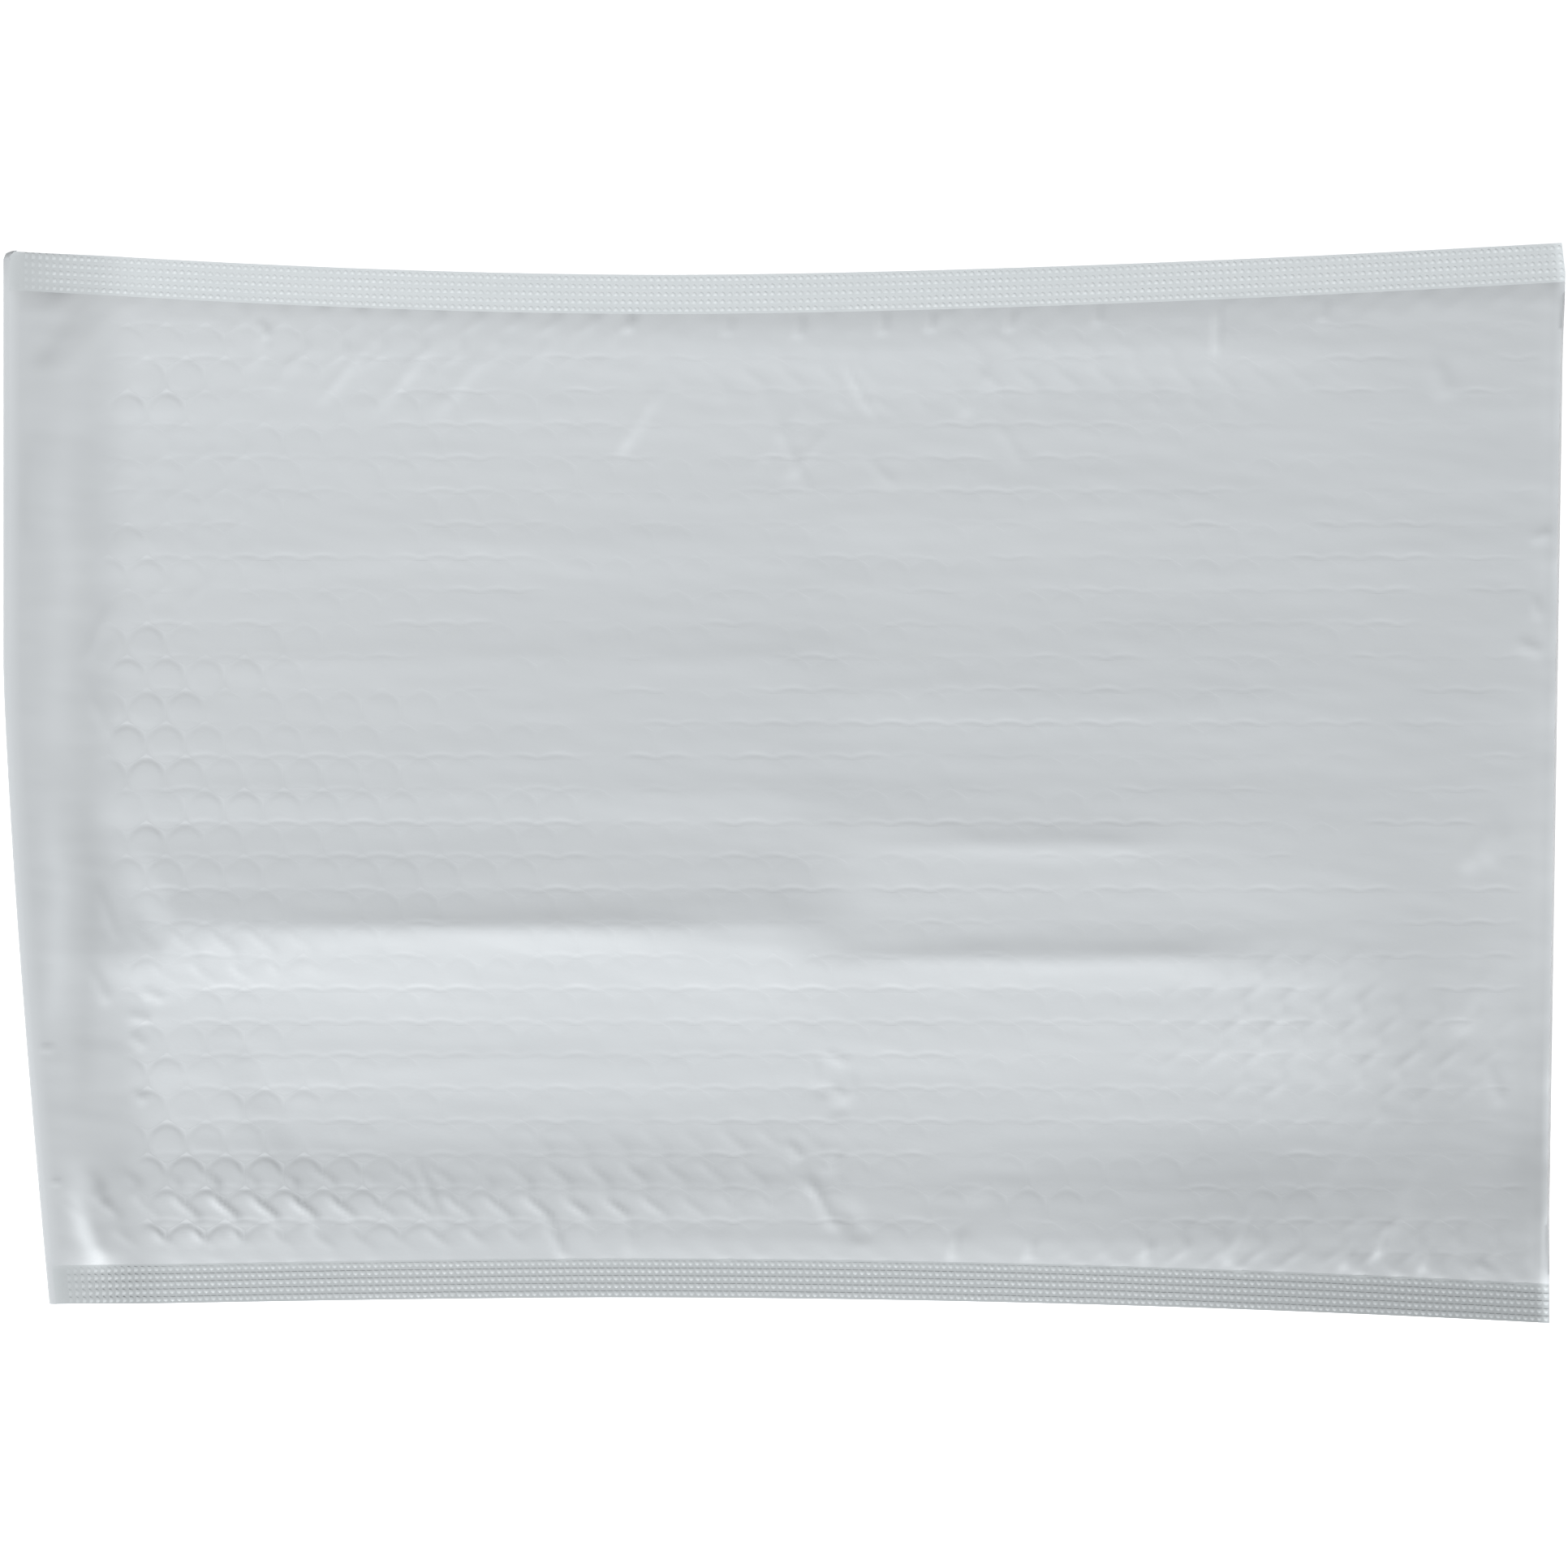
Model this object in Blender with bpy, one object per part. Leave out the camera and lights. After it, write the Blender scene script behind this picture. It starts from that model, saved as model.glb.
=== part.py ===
"""Padded envelope, empty and lying flat, with its flap folded under. Metres, +Z up.

The flap fold is at -X, the bottom fold of the web at +X, and a crimped seal runs along each long side.
The underside rests on z = 0, below the middle of the outline.
"""

import math

import bmesh
import bpy
from mathutils import Vector
from mathutils.geometry import delaunay_2d_cdt

# Outline from above
LENGTH = 0.460
FAR_AT_FLAP = 0.1569
FAR_AT_WAIST = 0.1493
FAR_AT_BOTTOM = 0.1588
FAR_WAIST_FROM_FLAP = 0.196
NEAR_AT_FLAP = 0.1537
NEAR_AT_WAIST = 0.1510
NEAR_AT_BOTTOM = 0.1588
NEAR_WAIST_FROM_FLAP = 0.179
FOLD_SKEW = 0.0136
FOLD_KINK_Y = 0.035
BOTTOM_TAPER = 0.0050
CORNER_RADIUS = 0.0024
CORNER_CUT = 0.0014
CORNER_CUT_RUN = 0.0088

# Curvature of the waisted sides, as powers of the distance from the waist
FAR_FLAP_POWER = 1.8
FAR_BOTTOM_POWER = 1.6
NEAR_FLAP_POWER = 1.45
NEAR_BOTTOM_POWER = 1.95
SKEW_POWER = 1.3

# Outer film
FILM = 0.0003
SEAL_WIDTH = 0.0110
SEAL_LIFT = 0.0022
SEAL_DROOP = 0.0008
RIB_COUNT = 5
RIB_HEIGHT = 0.00025
RIB_START = 0.0100
RIB_FADE = 0.0080
SEAL_STEPS = 16
SHOULDER = 0.0090
BACK_SHOULDER = 0.0110
NOSE_LIFT = 0.0030
NOSE_RUN = 0.0075
NOSE_BLEND = 0.0150
SHOULDER_WALL = 0.0008
FOLD_HEIGHT = 0.0032
FOLD_SEGMENTS = 6
FOLD_STATIONS = 12
LIP_SETBACK = 0.0062
LIP_RUN = 0.0040
FLAP_LENGTH = 0.0400
FLAP_STATIONS = 2
FLAP_TAPER = 0.0035
FLAP_STEP_RUN = 0.0120
CREASE_ANGLE_DEG = 50

# Bubble lining
PADDING = 0.0086
BUBBLE_PITCH = 0.0115
ROW_PITCH = 0.0096
FIRST_ROW_FROM_SEAL = 0.0029
FIRST_BUBBLE_FROM_FOLD = 0.0375
QUILT = 0.0005
BARE_BAND = 0.0280
BAND_RISE = 0.0080
LINING_INSET = 0.0025
POCKET = 0.0006
POCKET_END = 0.0050
ROW_GROOVE = 0.0009
LINING_STEPS = 8
LINING_EASE = 0.0006

# Closure on the flap
ADHESIVE_FROM_FOLD = 0.0110
ADHESIVE_WIDTH = 0.0130
ADHESIVE_THICKNESS = 0.0002
LINER_WIDTH = 0.0220
LINER_THICKNESS = 0.0002
STRIP_MARGIN = 0.0060

# Space between pieces that touch
CLEARANCE = 0.0003
WELD_DISTANCE = 0.000003
SAME_PLACE = 0.0000001

# Folds of the front along even bubble rows, as (row from the near seal, height over the padding)
FLAP_HALF_FOLDS = (
    (0, -0.0003),
    (2, -0.0008),
    (4, -0.0014),
    (6, -0.0010),
    (8, 0.0),
    (10, 0.0015),
    (12, 0.0008),
    (16, 0.0004),
    (20, -0.0004),
    (24, -0.0006),
    (28, 0.0),
)
BOTTOM_HALF_FOLDS = (
    (0, 0.0),
    (2, -0.0007),
    (4, -0.0017),
    (8, -0.0010),
    (10, -0.0006),
    (14, -0.0007),
    (20, -0.0014),
    (26, -0.0009),
    (28, -0.0001),
)
CROSS_FOLD_FROM_FLAP = 0.2400
CROSS_FOLD_RUN = 0.0320

FLAP_X = -LENGTH / 2
BOTTOM_X = LENGTH / 2
FOLD_RADIUS = FOLD_HEIGHT / 2
FLAP_STACK = FILM + 3 * CLEARANCE + ADHESIVE_THICKNESS + LINER_THICKNESS
RIB_PITCH = SEAL_WIDTH / RIB_COUNT
FIRST_ROW_Y = SEAL_WIDTH - NEAR_AT_WAIST + FIRST_ROW_FROM_SEAL
FIRST_BUBBLE_X = FLAP_X + FIRST_BUBBLE_FROM_FOLD
ROW_LINES = math.ceil((FAR_AT_BOTTOM - FIRST_ROW_Y) / ROW_PITCH)
ROW_STEP_COUNT = 2
SHOULDER_LINES = tuple(share * SHOULDER for share in (0.15, 0.36, 0.6))
BACK_SHOULDER_LINES = tuple(share * BACK_SHOULDER for share in (0.3, 0.65, 1.0))
BAND_LINES = tuple(share * BARE_BAND for share in (0.28, 0.55, 0.82))
STEP_LINES = tuple(FLAP_LENGTH + share * FLAP_STEP_RUN for share in (0.0, 0.25, 0.5, 0.75, 1.0))
CROSS_FOLD_SHARES = (-0.5, -0.25, 0.0, 0.25, 0.5)
CROSS_FOLD_LINES = tuple(CROSS_FOLD_FROM_FLAP + share * CROSS_FOLD_RUN for share in CROSS_FOLD_SHARES)
STEP_SHARES = tuple((start - FOLD_RADIUS) / LENGTH for start in STEP_LINES)
QUILT_GAP = 0.7 * SHOULDER
QUILT_START = 0.95 * BARE_BAND
ROW_START = BARE_BAND + BAND_RISE
BAND_TOP = BARE_BAND + 0.1 * BAND_RISE
CORNER_BEND = 0.3 * CORNER_RADIUS


def smooth(share):
    """S-curve from 0 to 1, level at both ends."""
    share = min(max(share, 0.0), 1.0)
    return share * share * (3 - 2 * share)


def swell(share):
    """Round shoulder from 0 to 1, steep at its start and level at its end."""
    share = min(max(share, 0.0), 1.0)
    return share * (2 - share)


def blend(start, end, share):
    return start + (end - start) * share


class Side:
    """One long side of the outline: how far it lies from the middle line at each x."""

    def __init__(self, sign, at_flap, at_waist, at_bottom, waist_from_flap, flap_power, bottom_power):
        self.sign = sign
        self.at_flap = at_flap
        self.at_waist = at_waist
        self.at_bottom = at_bottom
        self.waist_x = FLAP_X + waist_from_flap
        self.flap_power = flap_power
        self.bottom_power = bottom_power

    def reach(self, x):
        if x < self.waist_x:
            share = (self.waist_x - x) / (self.waist_x - FLAP_X)
            return blend(self.at_waist, self.at_flap, share ** self.flap_power)
        share = (x - self.waist_x) / (BOTTOM_X - self.waist_x)
        return blend(self.at_waist, self.at_bottom, share ** self.bottom_power)

    def depth(self, x, y):
        """Distance in from the outer edge."""
        return self.reach(x) - self.sign * y

    def point(self, depth, share, start=0.0, end_inset=0.0):
        """Point at a depth in from the edge, at a share of the way from the flap fold on."""
        x = blend(FLAP_X, BOTTOM_X, share)
        for _ in range(4):
            y = self.sign * (self.reach(x) - depth)
            x = blend(fold_x(y) + FOLD_RADIUS + start, bottom_x(y) - end_inset, share)
        return (x, self.sign * (self.reach(x) - depth))


FAR = Side(
    1, FAR_AT_FLAP, FAR_AT_WAIST, FAR_AT_BOTTOM, FAR_WAIST_FROM_FLAP, FAR_FLAP_POWER, FAR_BOTTOM_POWER
)
NEAR = Side(
    -1, NEAR_AT_FLAP, NEAR_AT_WAIST, NEAR_AT_BOTTOM, NEAR_WAIST_FROM_FLAP, NEAR_FLAP_POWER, NEAR_BOTTOM_POWER
)


def fold_x(y):
    """Outermost x of the flap fold, which runs askew below its kink and has a round far corner."""
    below = max(FOLD_KINK_Y - y, 0.0) / (FOLD_KINK_Y + NEAR_AT_FLAP)
    over = min(max(y - (FAR_AT_FLAP - CORNER_RADIUS), 0.0), CORNER_RADIUS)
    corner = CORNER_RADIUS - math.sqrt(CORNER_RADIUS ** 2 - over ** 2)
    return FLAP_X + FOLD_SKEW * below ** SKEW_POWER + corner


def bottom_x(y):
    """Outermost x of the bottom fold, with its far corner cut."""
    share = (FAR_AT_BOTTOM - y) / (FAR_AT_BOTTOM + NEAR_AT_BOTTOM)
    cut = min(max((y - FAR_AT_BOTTOM + CORNER_CUT_RUN) / CORNER_CUT_RUN, 0.0), 1.0)
    return BOTTOM_X - BOTTOM_TAPER * share - CORNER_CUT * cut


def seal_depth(x, y):
    """Distance in from the nearest seal's inner edge, negative on the seal."""
    return min(FAR.depth(x, y), NEAR.depth(x, y)) - SEAL_WIDTH


def flap_lift(x, y):
    """Height that the back film keeps over the folded flap and its strips."""
    past = x - fold_x(y) - FLAP_LENGTH
    return FLAP_STACK * (1 - smooth(past / FLAP_STEP_RUN))


def closing_height(x, y):
    """Height at which the front and the back film meet."""
    depth = seal_depth(x, y)
    droop = SEAL_DROOP * min(max(-depth / SEAL_WIDTH, 0.0), 1.0)
    near_bottom = 1 - smooth((bottom_x(y) - x) / NOSE_BLEND)
    nose = (NOSE_LIFT - SEAL_LIFT) * smooth(depth / NOSE_BLEND) * near_bottom
    return max(SEAL_LIFT - droop + nose, flap_lift(x, y))


def fullness(x, y, shoulder, wall):
    """Share of the padding's height that is reached, from 0 at the seals and the bottom fold."""
    inner = SEAL_WIDTH + wall
    across = swell((FAR.depth(x, y) - inner) / shoulder) * swell((NEAR.depth(x, y) - inner) / shoulder)
    return across * swell((bottom_x(y) - wall - x) / NOSE_RUN)


def row_fold(folds, row):
    """Height of one half's folds at a row, straight from fold to fold."""
    row = min(max(row, folds[0][0]), folds[-1][0])
    for (low_row, low), (high_row, high) in zip(folds, folds[1:]):
        if row <= high_row:
            return blend(low, high, (row - low_row) / (high_row - low_row))
    return folds[-1][1]


def crown(x, y):
    """Height of the front over the padding, and of its slope down to the flap fold."""
    row = (y - FIRST_ROW_Y) / ROW_PITCH
    half = smooth((x - FLAP_X - CROSS_FOLD_FROM_FLAP) / CROSS_FOLD_RUN + 0.5)
    padding = PADDING + blend(row_fold(FLAP_HALF_FOLDS, row), row_fold(BOTTOM_HALF_FOLDS, row), half)
    rise = smooth((x - fold_x(y) - FOLD_RADIUS) / (BARE_BAND + BAND_RISE))
    return blend(FOLD_HEIGHT, padding, rise)


def dome(x, y):
    """Share of a bubble's height at a point: 1 over its middle, 0 at the corners of its cell."""
    row = (y - FIRST_ROW_Y) / ROW_PITCH
    near_row = round(row)
    best = 0.0
    for line in (near_row - 1, near_row, near_row + 1):
        shift = FIRST_BUBBLE_X + (line % 2) * BUBBLE_PITCH / 2
        column = (x - shift) / BUBBLE_PITCH
        gap_x = (column - round(column)) * 2
        gap_y = (row - line) * 1.5
        best = max(best, 1 - math.hypot(gap_x, gap_y))
    return best


def rib(x, y):
    """Height of the crimp ribs, which fade out beside the flap fold."""
    depth = min(FAR.depth(x, y), NEAR.depth(x, y))
    if depth >= SEAL_WIDTH:
        return 0.0
    wave = 1 - abs(2 * (depth / RIB_PITCH % 1.0) - 1)
    return RIB_HEIGHT * wave * smooth((x - fold_x(y) - FOLD_RADIUS - RIB_START) / RIB_FADE)


def film_ceiling(x, y, wall=SHOULDER_WALL):
    """Inner face of the front film."""
    closed = closing_height(x, y) + FILM
    height = blend(closed, crown(x, y) - FILM, fullness(x, y, SHOULDER, wall))
    return blend(FOLD_HEIGHT - FILM, height, smooth((x - fold_x(y) - FOLD_RADIUS) / LIP_RUN))


def rim_seam(x, y):
    """Line between the front and the back film along the outer edge."""
    return film_ceiling(x, y, 0.0)


def film_top(x, y):
    """Outer face of the front film, with its crimp ribs and its quilting over the bubbles."""
    over_lining = smooth((x - fold_x(y) - BARE_BAND) / BAND_RISE)
    quilting = QUILT * dome(x, y) * over_lining * fullness(x, y, SHOULDER, 0.0)
    return film_ceiling(x, y, 0.0) + FILM + rib(x, y) + quilting


def film_back(x, y, wall=0.0):
    """Outer face of the back film."""
    lift = closing_height(x, y) * (1 - fullness(x, y, BACK_SHOULDER, wall))
    return max(lift, flap_lift(x, y))


def film_floor(x, y, wall=SHOULDER_WALL):
    """Inner face of the back film."""
    return film_back(x, y, wall) + FILM


def fold_line():
    """Points along the flap fold, from the near to the far outer edge."""
    low = NEAR.point(0.0, 0.0)
    high = FAR.point(0.0, 0.0)
    steps = [step / FOLD_STATIONS for step in range(FOLD_STATIONS)]
    heights = [blend(low[1], high[1] - CORNER_RADIUS, step) for step in steps]
    heights += [high[1] - CORNER_RADIUS, high[1] - CORNER_BEND]
    line = [(fold_x(y) + FOLD_RADIUS, y) for y in heights]
    return line + [high]


def lip_line():
    """Points along the free edge of the back film, just inside the flap fold."""
    start = LIP_SETBACK - FOLD_RADIUS
    corners = [NEAR.point(depth, 0.0, start) for depth in (0.0, SEAL_WIDTH + SHOULDER_WALL)]
    ends = [FAR.point(depth, 0.0, start) for depth in (SEAL_WIDTH + SHOULDER_WALL, 0.0)]
    between = []
    for step in range(1, FOLD_STATIONS - 2):
        y = blend(corners[1][1], ends[0][1], step / (FOLD_STATIONS - 2))
        between.append((fold_x(y) + LIP_SETBACK, y))
    return corners + between + ends


def row_heights(low, high, step):
    """Heights in y of the bubble rows between two limits."""
    rows = [FIRST_ROW_Y + row * ROW_PITCH for row in range(0, ROW_LINES, step)]
    return [y for y in rows if low + ROW_PITCH / 3 < y < high - ROW_PITCH / 3]


def end_line(inset, near_depths, far_depths):
    """Points along the bottom fold, from the near to the far side, with the given depths on the seals."""
    near = [NEAR.point(depth, 1.0, 0.0, inset) for depth in near_depths]
    far = [FAR.point(depth, 1.0, 0.0, inset) for depth in far_depths]
    between = [(bottom_x(y) - inset, y) for y in row_heights(near[-1][1], far[0][1], ROW_STEP_COUNT)]
    return near + between + far


def seal_shares():
    """Stations along a side: the start of its ribs, the step past the flap, then even steps."""
    start = RIB_START / LENGTH
    full = (RIB_START + RIB_FADE) / LENGTH
    even = [blend(full, 1.0, step / SEAL_STEPS) for step in range(1, SEAL_STEPS + 1)]
    clear = [share for share in even if not STEP_SHARES[0] < share < STEP_SHARES[-1]]
    return sorted([start, full, *STEP_SHARES, *clear])


def side_line(side, depth, first=0, end_inset=0.0):
    """Points along a side at one depth, from a station to the last but one."""
    return [side.point(depth, share, 0.0, end_inset) for share in seal_shares()[first:-1]]


def rib_depths():
    """Depths of the crimp's valleys and ridges, from the outer edge to the inner edge of a seal."""
    return [step * RIB_PITCH / 2 for step in range(2 * RIB_COUNT + 1)]


def lattice(shoulder_gap, start, stop):
    """Middles and corners of the bubble cells that lie inside the padded area."""
    points = []
    columns_before = math.ceil(FIRST_BUBBLE_FROM_FOLD / BUBBLE_PITCH)
    for row in range(ROW_LINES):
        shift = FIRST_BUBBLE_X + (row % 2) * BUBBLE_PITCH / 2
        for column in range(-columns_before, math.ceil(LENGTH / BUBBLE_PITCH)):
            x = shift + column * BUBBLE_PITCH
            y = FIRST_ROW_Y + row * ROW_PITCH
            points += [(x, y), (x, y + ROW_PITCH * 2 / 3), (x + BUBBLE_PITCH / 2, y + ROW_PITCH / 3)]
    return [
        (x, y)
        for x, y in points
        if seal_depth(x, y) > shoulder_gap and fold_x(y) + start < x < bottom_x(y) - stop
    ]


def shoulder_lines(depths, wall):
    """Lines that run along both seals and round the bottom fold, at depths in from a wall."""
    lines = []
    for depth in depths:
        inset = wall + depth
        near, far = [side_line(side, SEAL_WIDTH + inset, 0, inset) for side in (NEAR, FAR)]
        lines.append(near + end_line(inset, [SEAL_WIDTH + inset], [SEAL_WIDTH + inset]) + far[::-1])
    return lines


def band_line(start, near, far):
    """Line along the flap fold between two ends, with a point on each second bubble row."""
    return [near] + [(fold_x(y) + start, y) for y in row_heights(near[1], far[1], ROW_STEP_COUNT)] + [far]


def band_lines(starts, depth):
    """Lines along the flap fold, from one shoulder to the other."""
    lines = []
    for start in starts:
        near, far = [side.point(SEAL_WIDTH + depth, 0.0, start - FOLD_RADIUS) for side in (NEAR, FAR)]
        lines.append(band_line(start, near, far))
    return lines


def floor_lines(wall):
    """Lines on the back film where it bends: along its shoulders and over its step past the flap."""
    lines = shoulder_lines(BACK_SHOULDER_LINES, wall)
    inset = wall + BACK_SHOULDER_LINES[0]
    for start, share in zip(STEP_LINES, STEP_SHARES):
        near, far = [side.point(SEAL_WIDTH + inset, share, 0.0, inset) for side in (NEAR, FAR)]
        lines.append(band_line(start, near, far))
    return lines


def row_lines(shift, start, stop, row_step, ease):
    """Lines along the bubble rows that stay on the padding, from the bare band to the bottom fold."""
    cross = [FLAP_X + start for start in CROSS_FOLD_LINES]
    lines = []
    for row_y in row_heights(-NEAR_AT_BOTTOM, FAR_AT_BOTTOM, row_step):
        y = row_y + shift
        line = [fold_x(y) + start] + cross + [bottom_x(y) - stop]
        waist = min(seal_depth(FAR.waist_x, y), seal_depth(NEAR.waist_x, y))
        if waist > SHOULDER + ease:
            lines.append([(x, y) for x in line])
    return lines


def add_sheet(shell, outline, height, lines=(), points=()):
    """Triangulate an outline with the lines and points inside it, and lay the sheet at its height."""
    places = list(outline)
    edges = [(index, (index + 1) % len(outline)) for index in range(len(outline))]
    for line in lines:
        edges += [(len(places) + index, len(places) + index + 1) for index in range(len(line) - 1)]
        places += line
    places = [Vector(place) for place in places + list(points)]
    flat, _, triangles, _, _, _ = delaunay_2d_cdt(places, edges, [], 1, SAME_PLACE)
    corners = [shell.verts.new((place.x, place.y, height(place.x, place.y))) for place in flat]
    for triangle in triangles:
        shell.faces.new([corners[index] for index in triangle])


def add_strip(shell, first, second):
    """Join two lines of points by a row of quads."""
    low = [shell.verts.new(point) for point in first]
    high = [shell.verts.new(point) for point in second]
    for index in range(len(low) - 1):
        shell.faces.new((low[index], low[index + 1], high[index + 1], high[index]))


def lay(line, height):
    """Lift a line of plan points to its height."""
    return [(x, y, height(x, y)) for x, y in line]


def close_shell(name, shell, material):
    """Weld the parts of a shell, point its faces outward and make it an object."""
    bmesh.ops.remove_doubles(shell, verts=shell.verts, dist=WELD_DISTANCE)
    bmesh.ops.recalc_face_normals(shell, faces=shell.faces)
    mesh = bpy.data.meshes.new(name)
    shell.to_mesh(mesh)
    shell.free()
    mesh.shade_smooth()
    mesh.set_sharp_from_angle(angle=math.radians(CREASE_ANGLE_DEG))
    mesh.materials.append(material)
    piece = bpy.data.objects.new(name, mesh)
    bpy.context.scene.collection.objects.link(piece)
    return piece


def add_front(shell, fold, lip):
    """Front panel: bare band and quilted area in one sheet, and a ribbed strip along each seal."""
    depths = rib_depths()
    shares = seal_shares()
    far_ribs = [FAR.point(depth, shares[0]) for depth in depths]
    near_ribs = [NEAR.point(depth, shares[0]) for depth in reversed(depths)]
    outline = fold + [lip[-1]] + far_ribs + side_line(FAR, SEAL_WIDTH, 1)
    outline += list(reversed(end_line(0.0, [SEAL_WIDTH], [SEAL_WIDTH])))
    outline += list(reversed(side_line(NEAR, SEAL_WIDTH, 1))) + near_ribs + [lip[0]]
    lines = shoulder_lines(SHOULDER_LINES, 0.0) + band_lines(BAND_LINES, SHOULDER)
    cells = lattice(QUILT_GAP, QUILT_START, QUILT_GAP)
    add_sheet(shell, outline, film_top, lines, cells)
    for side in (FAR, NEAR):
        ribs = [lay([side.point(depth, share) for share in shares], film_top) for depth in depths]
        for outer, inner in zip(ribs, ribs[1:]):
            add_strip(shell, outer, inner)


def add_cavity(shell, fold, lip):
    """Inner faces of the front and the back film, which meet at the seals and the bottom fold."""
    depth = SEAL_WIDTH + SHOULDER_WALL
    closed_end = end_line(SHOULDER_WALL, [depth], [depth])
    pocket = side_line(FAR, depth, 0, SHOULDER_WALL) + list(reversed(closed_end))
    pocket += list(reversed(side_line(NEAR, depth, 0, SHOULDER_WALL)))
    lines = shoulder_lines(SHOULDER_LINES + (SHOULDER,), SHOULDER_WALL)
    lines += band_lines(BAND_LINES + (BAND_TOP,), SHOULDER + 2 * SHOULDER_WALL)
    lines += row_lines(0.0, ROW_START, SHOULDER + 3 * SHOULDER_WALL, ROW_STEP_COUNT, SHOULDER_WALL)
    ceiling = fold + list(reversed(lip[-2:])) + pocket + list(reversed(lip[:2]))
    add_sheet(shell, ceiling, film_ceiling, lines)
    add_sheet(shell, lip[1:-1] + pocket, film_floor, floor_lines(SHOULDER_WALL))


def add_back(shell, lip):
    """Outer face of the back film, its lip inside the flap fold, and the rim around both films."""
    depths = rib_depths()
    ends = end_line(0.0, depths, list(reversed(depths)))
    far_edge = side_line(FAR, 0.0)
    near_edge = side_line(NEAR, 0.0)
    outline = lip + far_edge + list(reversed(ends)) + list(reversed(near_edge))
    seams = [side_line(FAR, SEAL_WIDTH), side_line(NEAR, SEAL_WIDTH)]
    add_sheet(shell, outline, film_back, seams + floor_lines(0.0))
    lip_top = lay(lip[:1], rim_seam) + lay(lip[1:-1], film_floor) + lay(lip[-1:], rim_seam)
    add_strip(shell, lay(lip, film_back), lip_top)
    rim = lip[:1] + near_edge + ends + list(reversed(far_edge)) + lip[-1:]
    add_strip(shell, lay(rim, film_back), lay(rim, rim_seam))
    return rim


def fold_section(point):
    """Outer and inner line of the flap fold and the flap under one point of the fold line."""
    x, y = point
    outer = []
    inner = []
    for step in range(FOLD_SEGMENTS + 1):
        angle = math.pi / 2 + math.pi * step / FOLD_SEGMENTS
        for line, radius in ((outer, FOLD_RADIUS), (inner, FOLD_RADIUS - FILM)):
            line.append((x + radius * math.cos(angle), y, FOLD_RADIUS + radius * math.sin(angle)))
    for station in range(1, FLAP_STATIONS + 1):
        share = station / FLAP_STATIONS
        run = (FLAP_LENGTH - FOLD_RADIUS) * share
        side_shift = FLAP_TAPER * share * y / FAR_AT_FLAP
        outer.append((x + run, y - side_shift, 0.0))
        inner.append((x + run, y - side_shift, FILM))
    return outer, inner


def add_flap(shell, fold):
    """Flap fold and the flap that lies under the back film."""
    sections = [fold_section(point) for point in fold]
    for (outer, inner), (next_outer, next_inner) in zip(sections, sections[1:]):
        add_strip(shell, outer, next_outer)
        add_strip(shell, inner, next_inner)
        add_strip(shell, (outer[-1], next_outer[-1]), (inner[-1], next_inner[-1]))
    for outer, inner in (sections[0], sections[-1]):
        add_strip(shell, outer, inner)


def build_outer_film(material):
    """The folded, crimped and hollow film with its flap."""
    shell = bmesh.new()
    fold = fold_line()
    lip = lip_line()
    add_front(shell, fold, lip)
    add_cavity(shell, fold, lip)
    rim = add_back(shell, lip)
    front_rim = fold[:1] + rim + fold[-1:]
    add_strip(shell, lay(front_rim, rim_seam), lay(front_rim, film_top))
    add_flap(shell, fold)
    return close_shell("outer_film", shell, material)


def lining_side(side, share):
    """Point on one of the lining's sides, at a share of the way from its mouth to its fold."""
    inset = SHOULDER_WALL + LINING_INSET
    return side.point(SEAL_WIDTH + LINING_INSET, share, BARE_BAND - FOLD_RADIUS, inset)


def lining_cross(near, far, place):
    """Line across the lining, with a point on each bubble row and on each groove between two rows."""
    rows = row_heights(near[1], far[1], 1)
    grooves = [y + ROW_PITCH / 2 for y in rows[:-1]]
    return [near] + [(place(y), y) for y in sorted(rows + grooves)] + [far]


def lining_ridges(x, y):
    """Depth of the grooves between the lining's bubble rows."""
    row = (y - FIRST_ROW_Y) / ROW_PITCH
    return ROW_GROOVE * 2 * abs(row - round(row)) * fullness(x, y, SHOULDER, SHOULDER_WALL)


def lining_top(x, y):
    return film_ceiling(x, y, SHOULDER_WALL + LINING_EASE) - CLEARANCE - lining_ridges(x, y)


def lining_bottom(x, y):
    return film_floor(x, y, SHOULDER_WALL + LINING_EASE) + CLEARANCE


def pocket_middle(x, y):
    wall = SHOULDER_WALL + LINING_EASE
    return (film_ceiling(x, y, wall) + film_floor(x, y, wall)) / 2


def pocket_ceiling(x, y):
    return pocket_middle(x, y) + POCKET / 2


def pocket_floor(x, y):
    return pocket_middle(x, y) - POCKET / 2


def lining_stations():
    """Shares of the lining's length where it has a station: round its step over the flap, then evenly."""
    step = [(start - BARE_BAND) / (LENGTH - BARE_BAND) for start in STEP_LINES[::2]]
    slit_end = 1 - POCKET_END / LENGTH
    even = [slit_end * step / LINING_STEPS for step in range(LINING_STEPS + 1)]
    return sorted([share for share in step if share > 0.0] + even) + [1.0]


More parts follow.
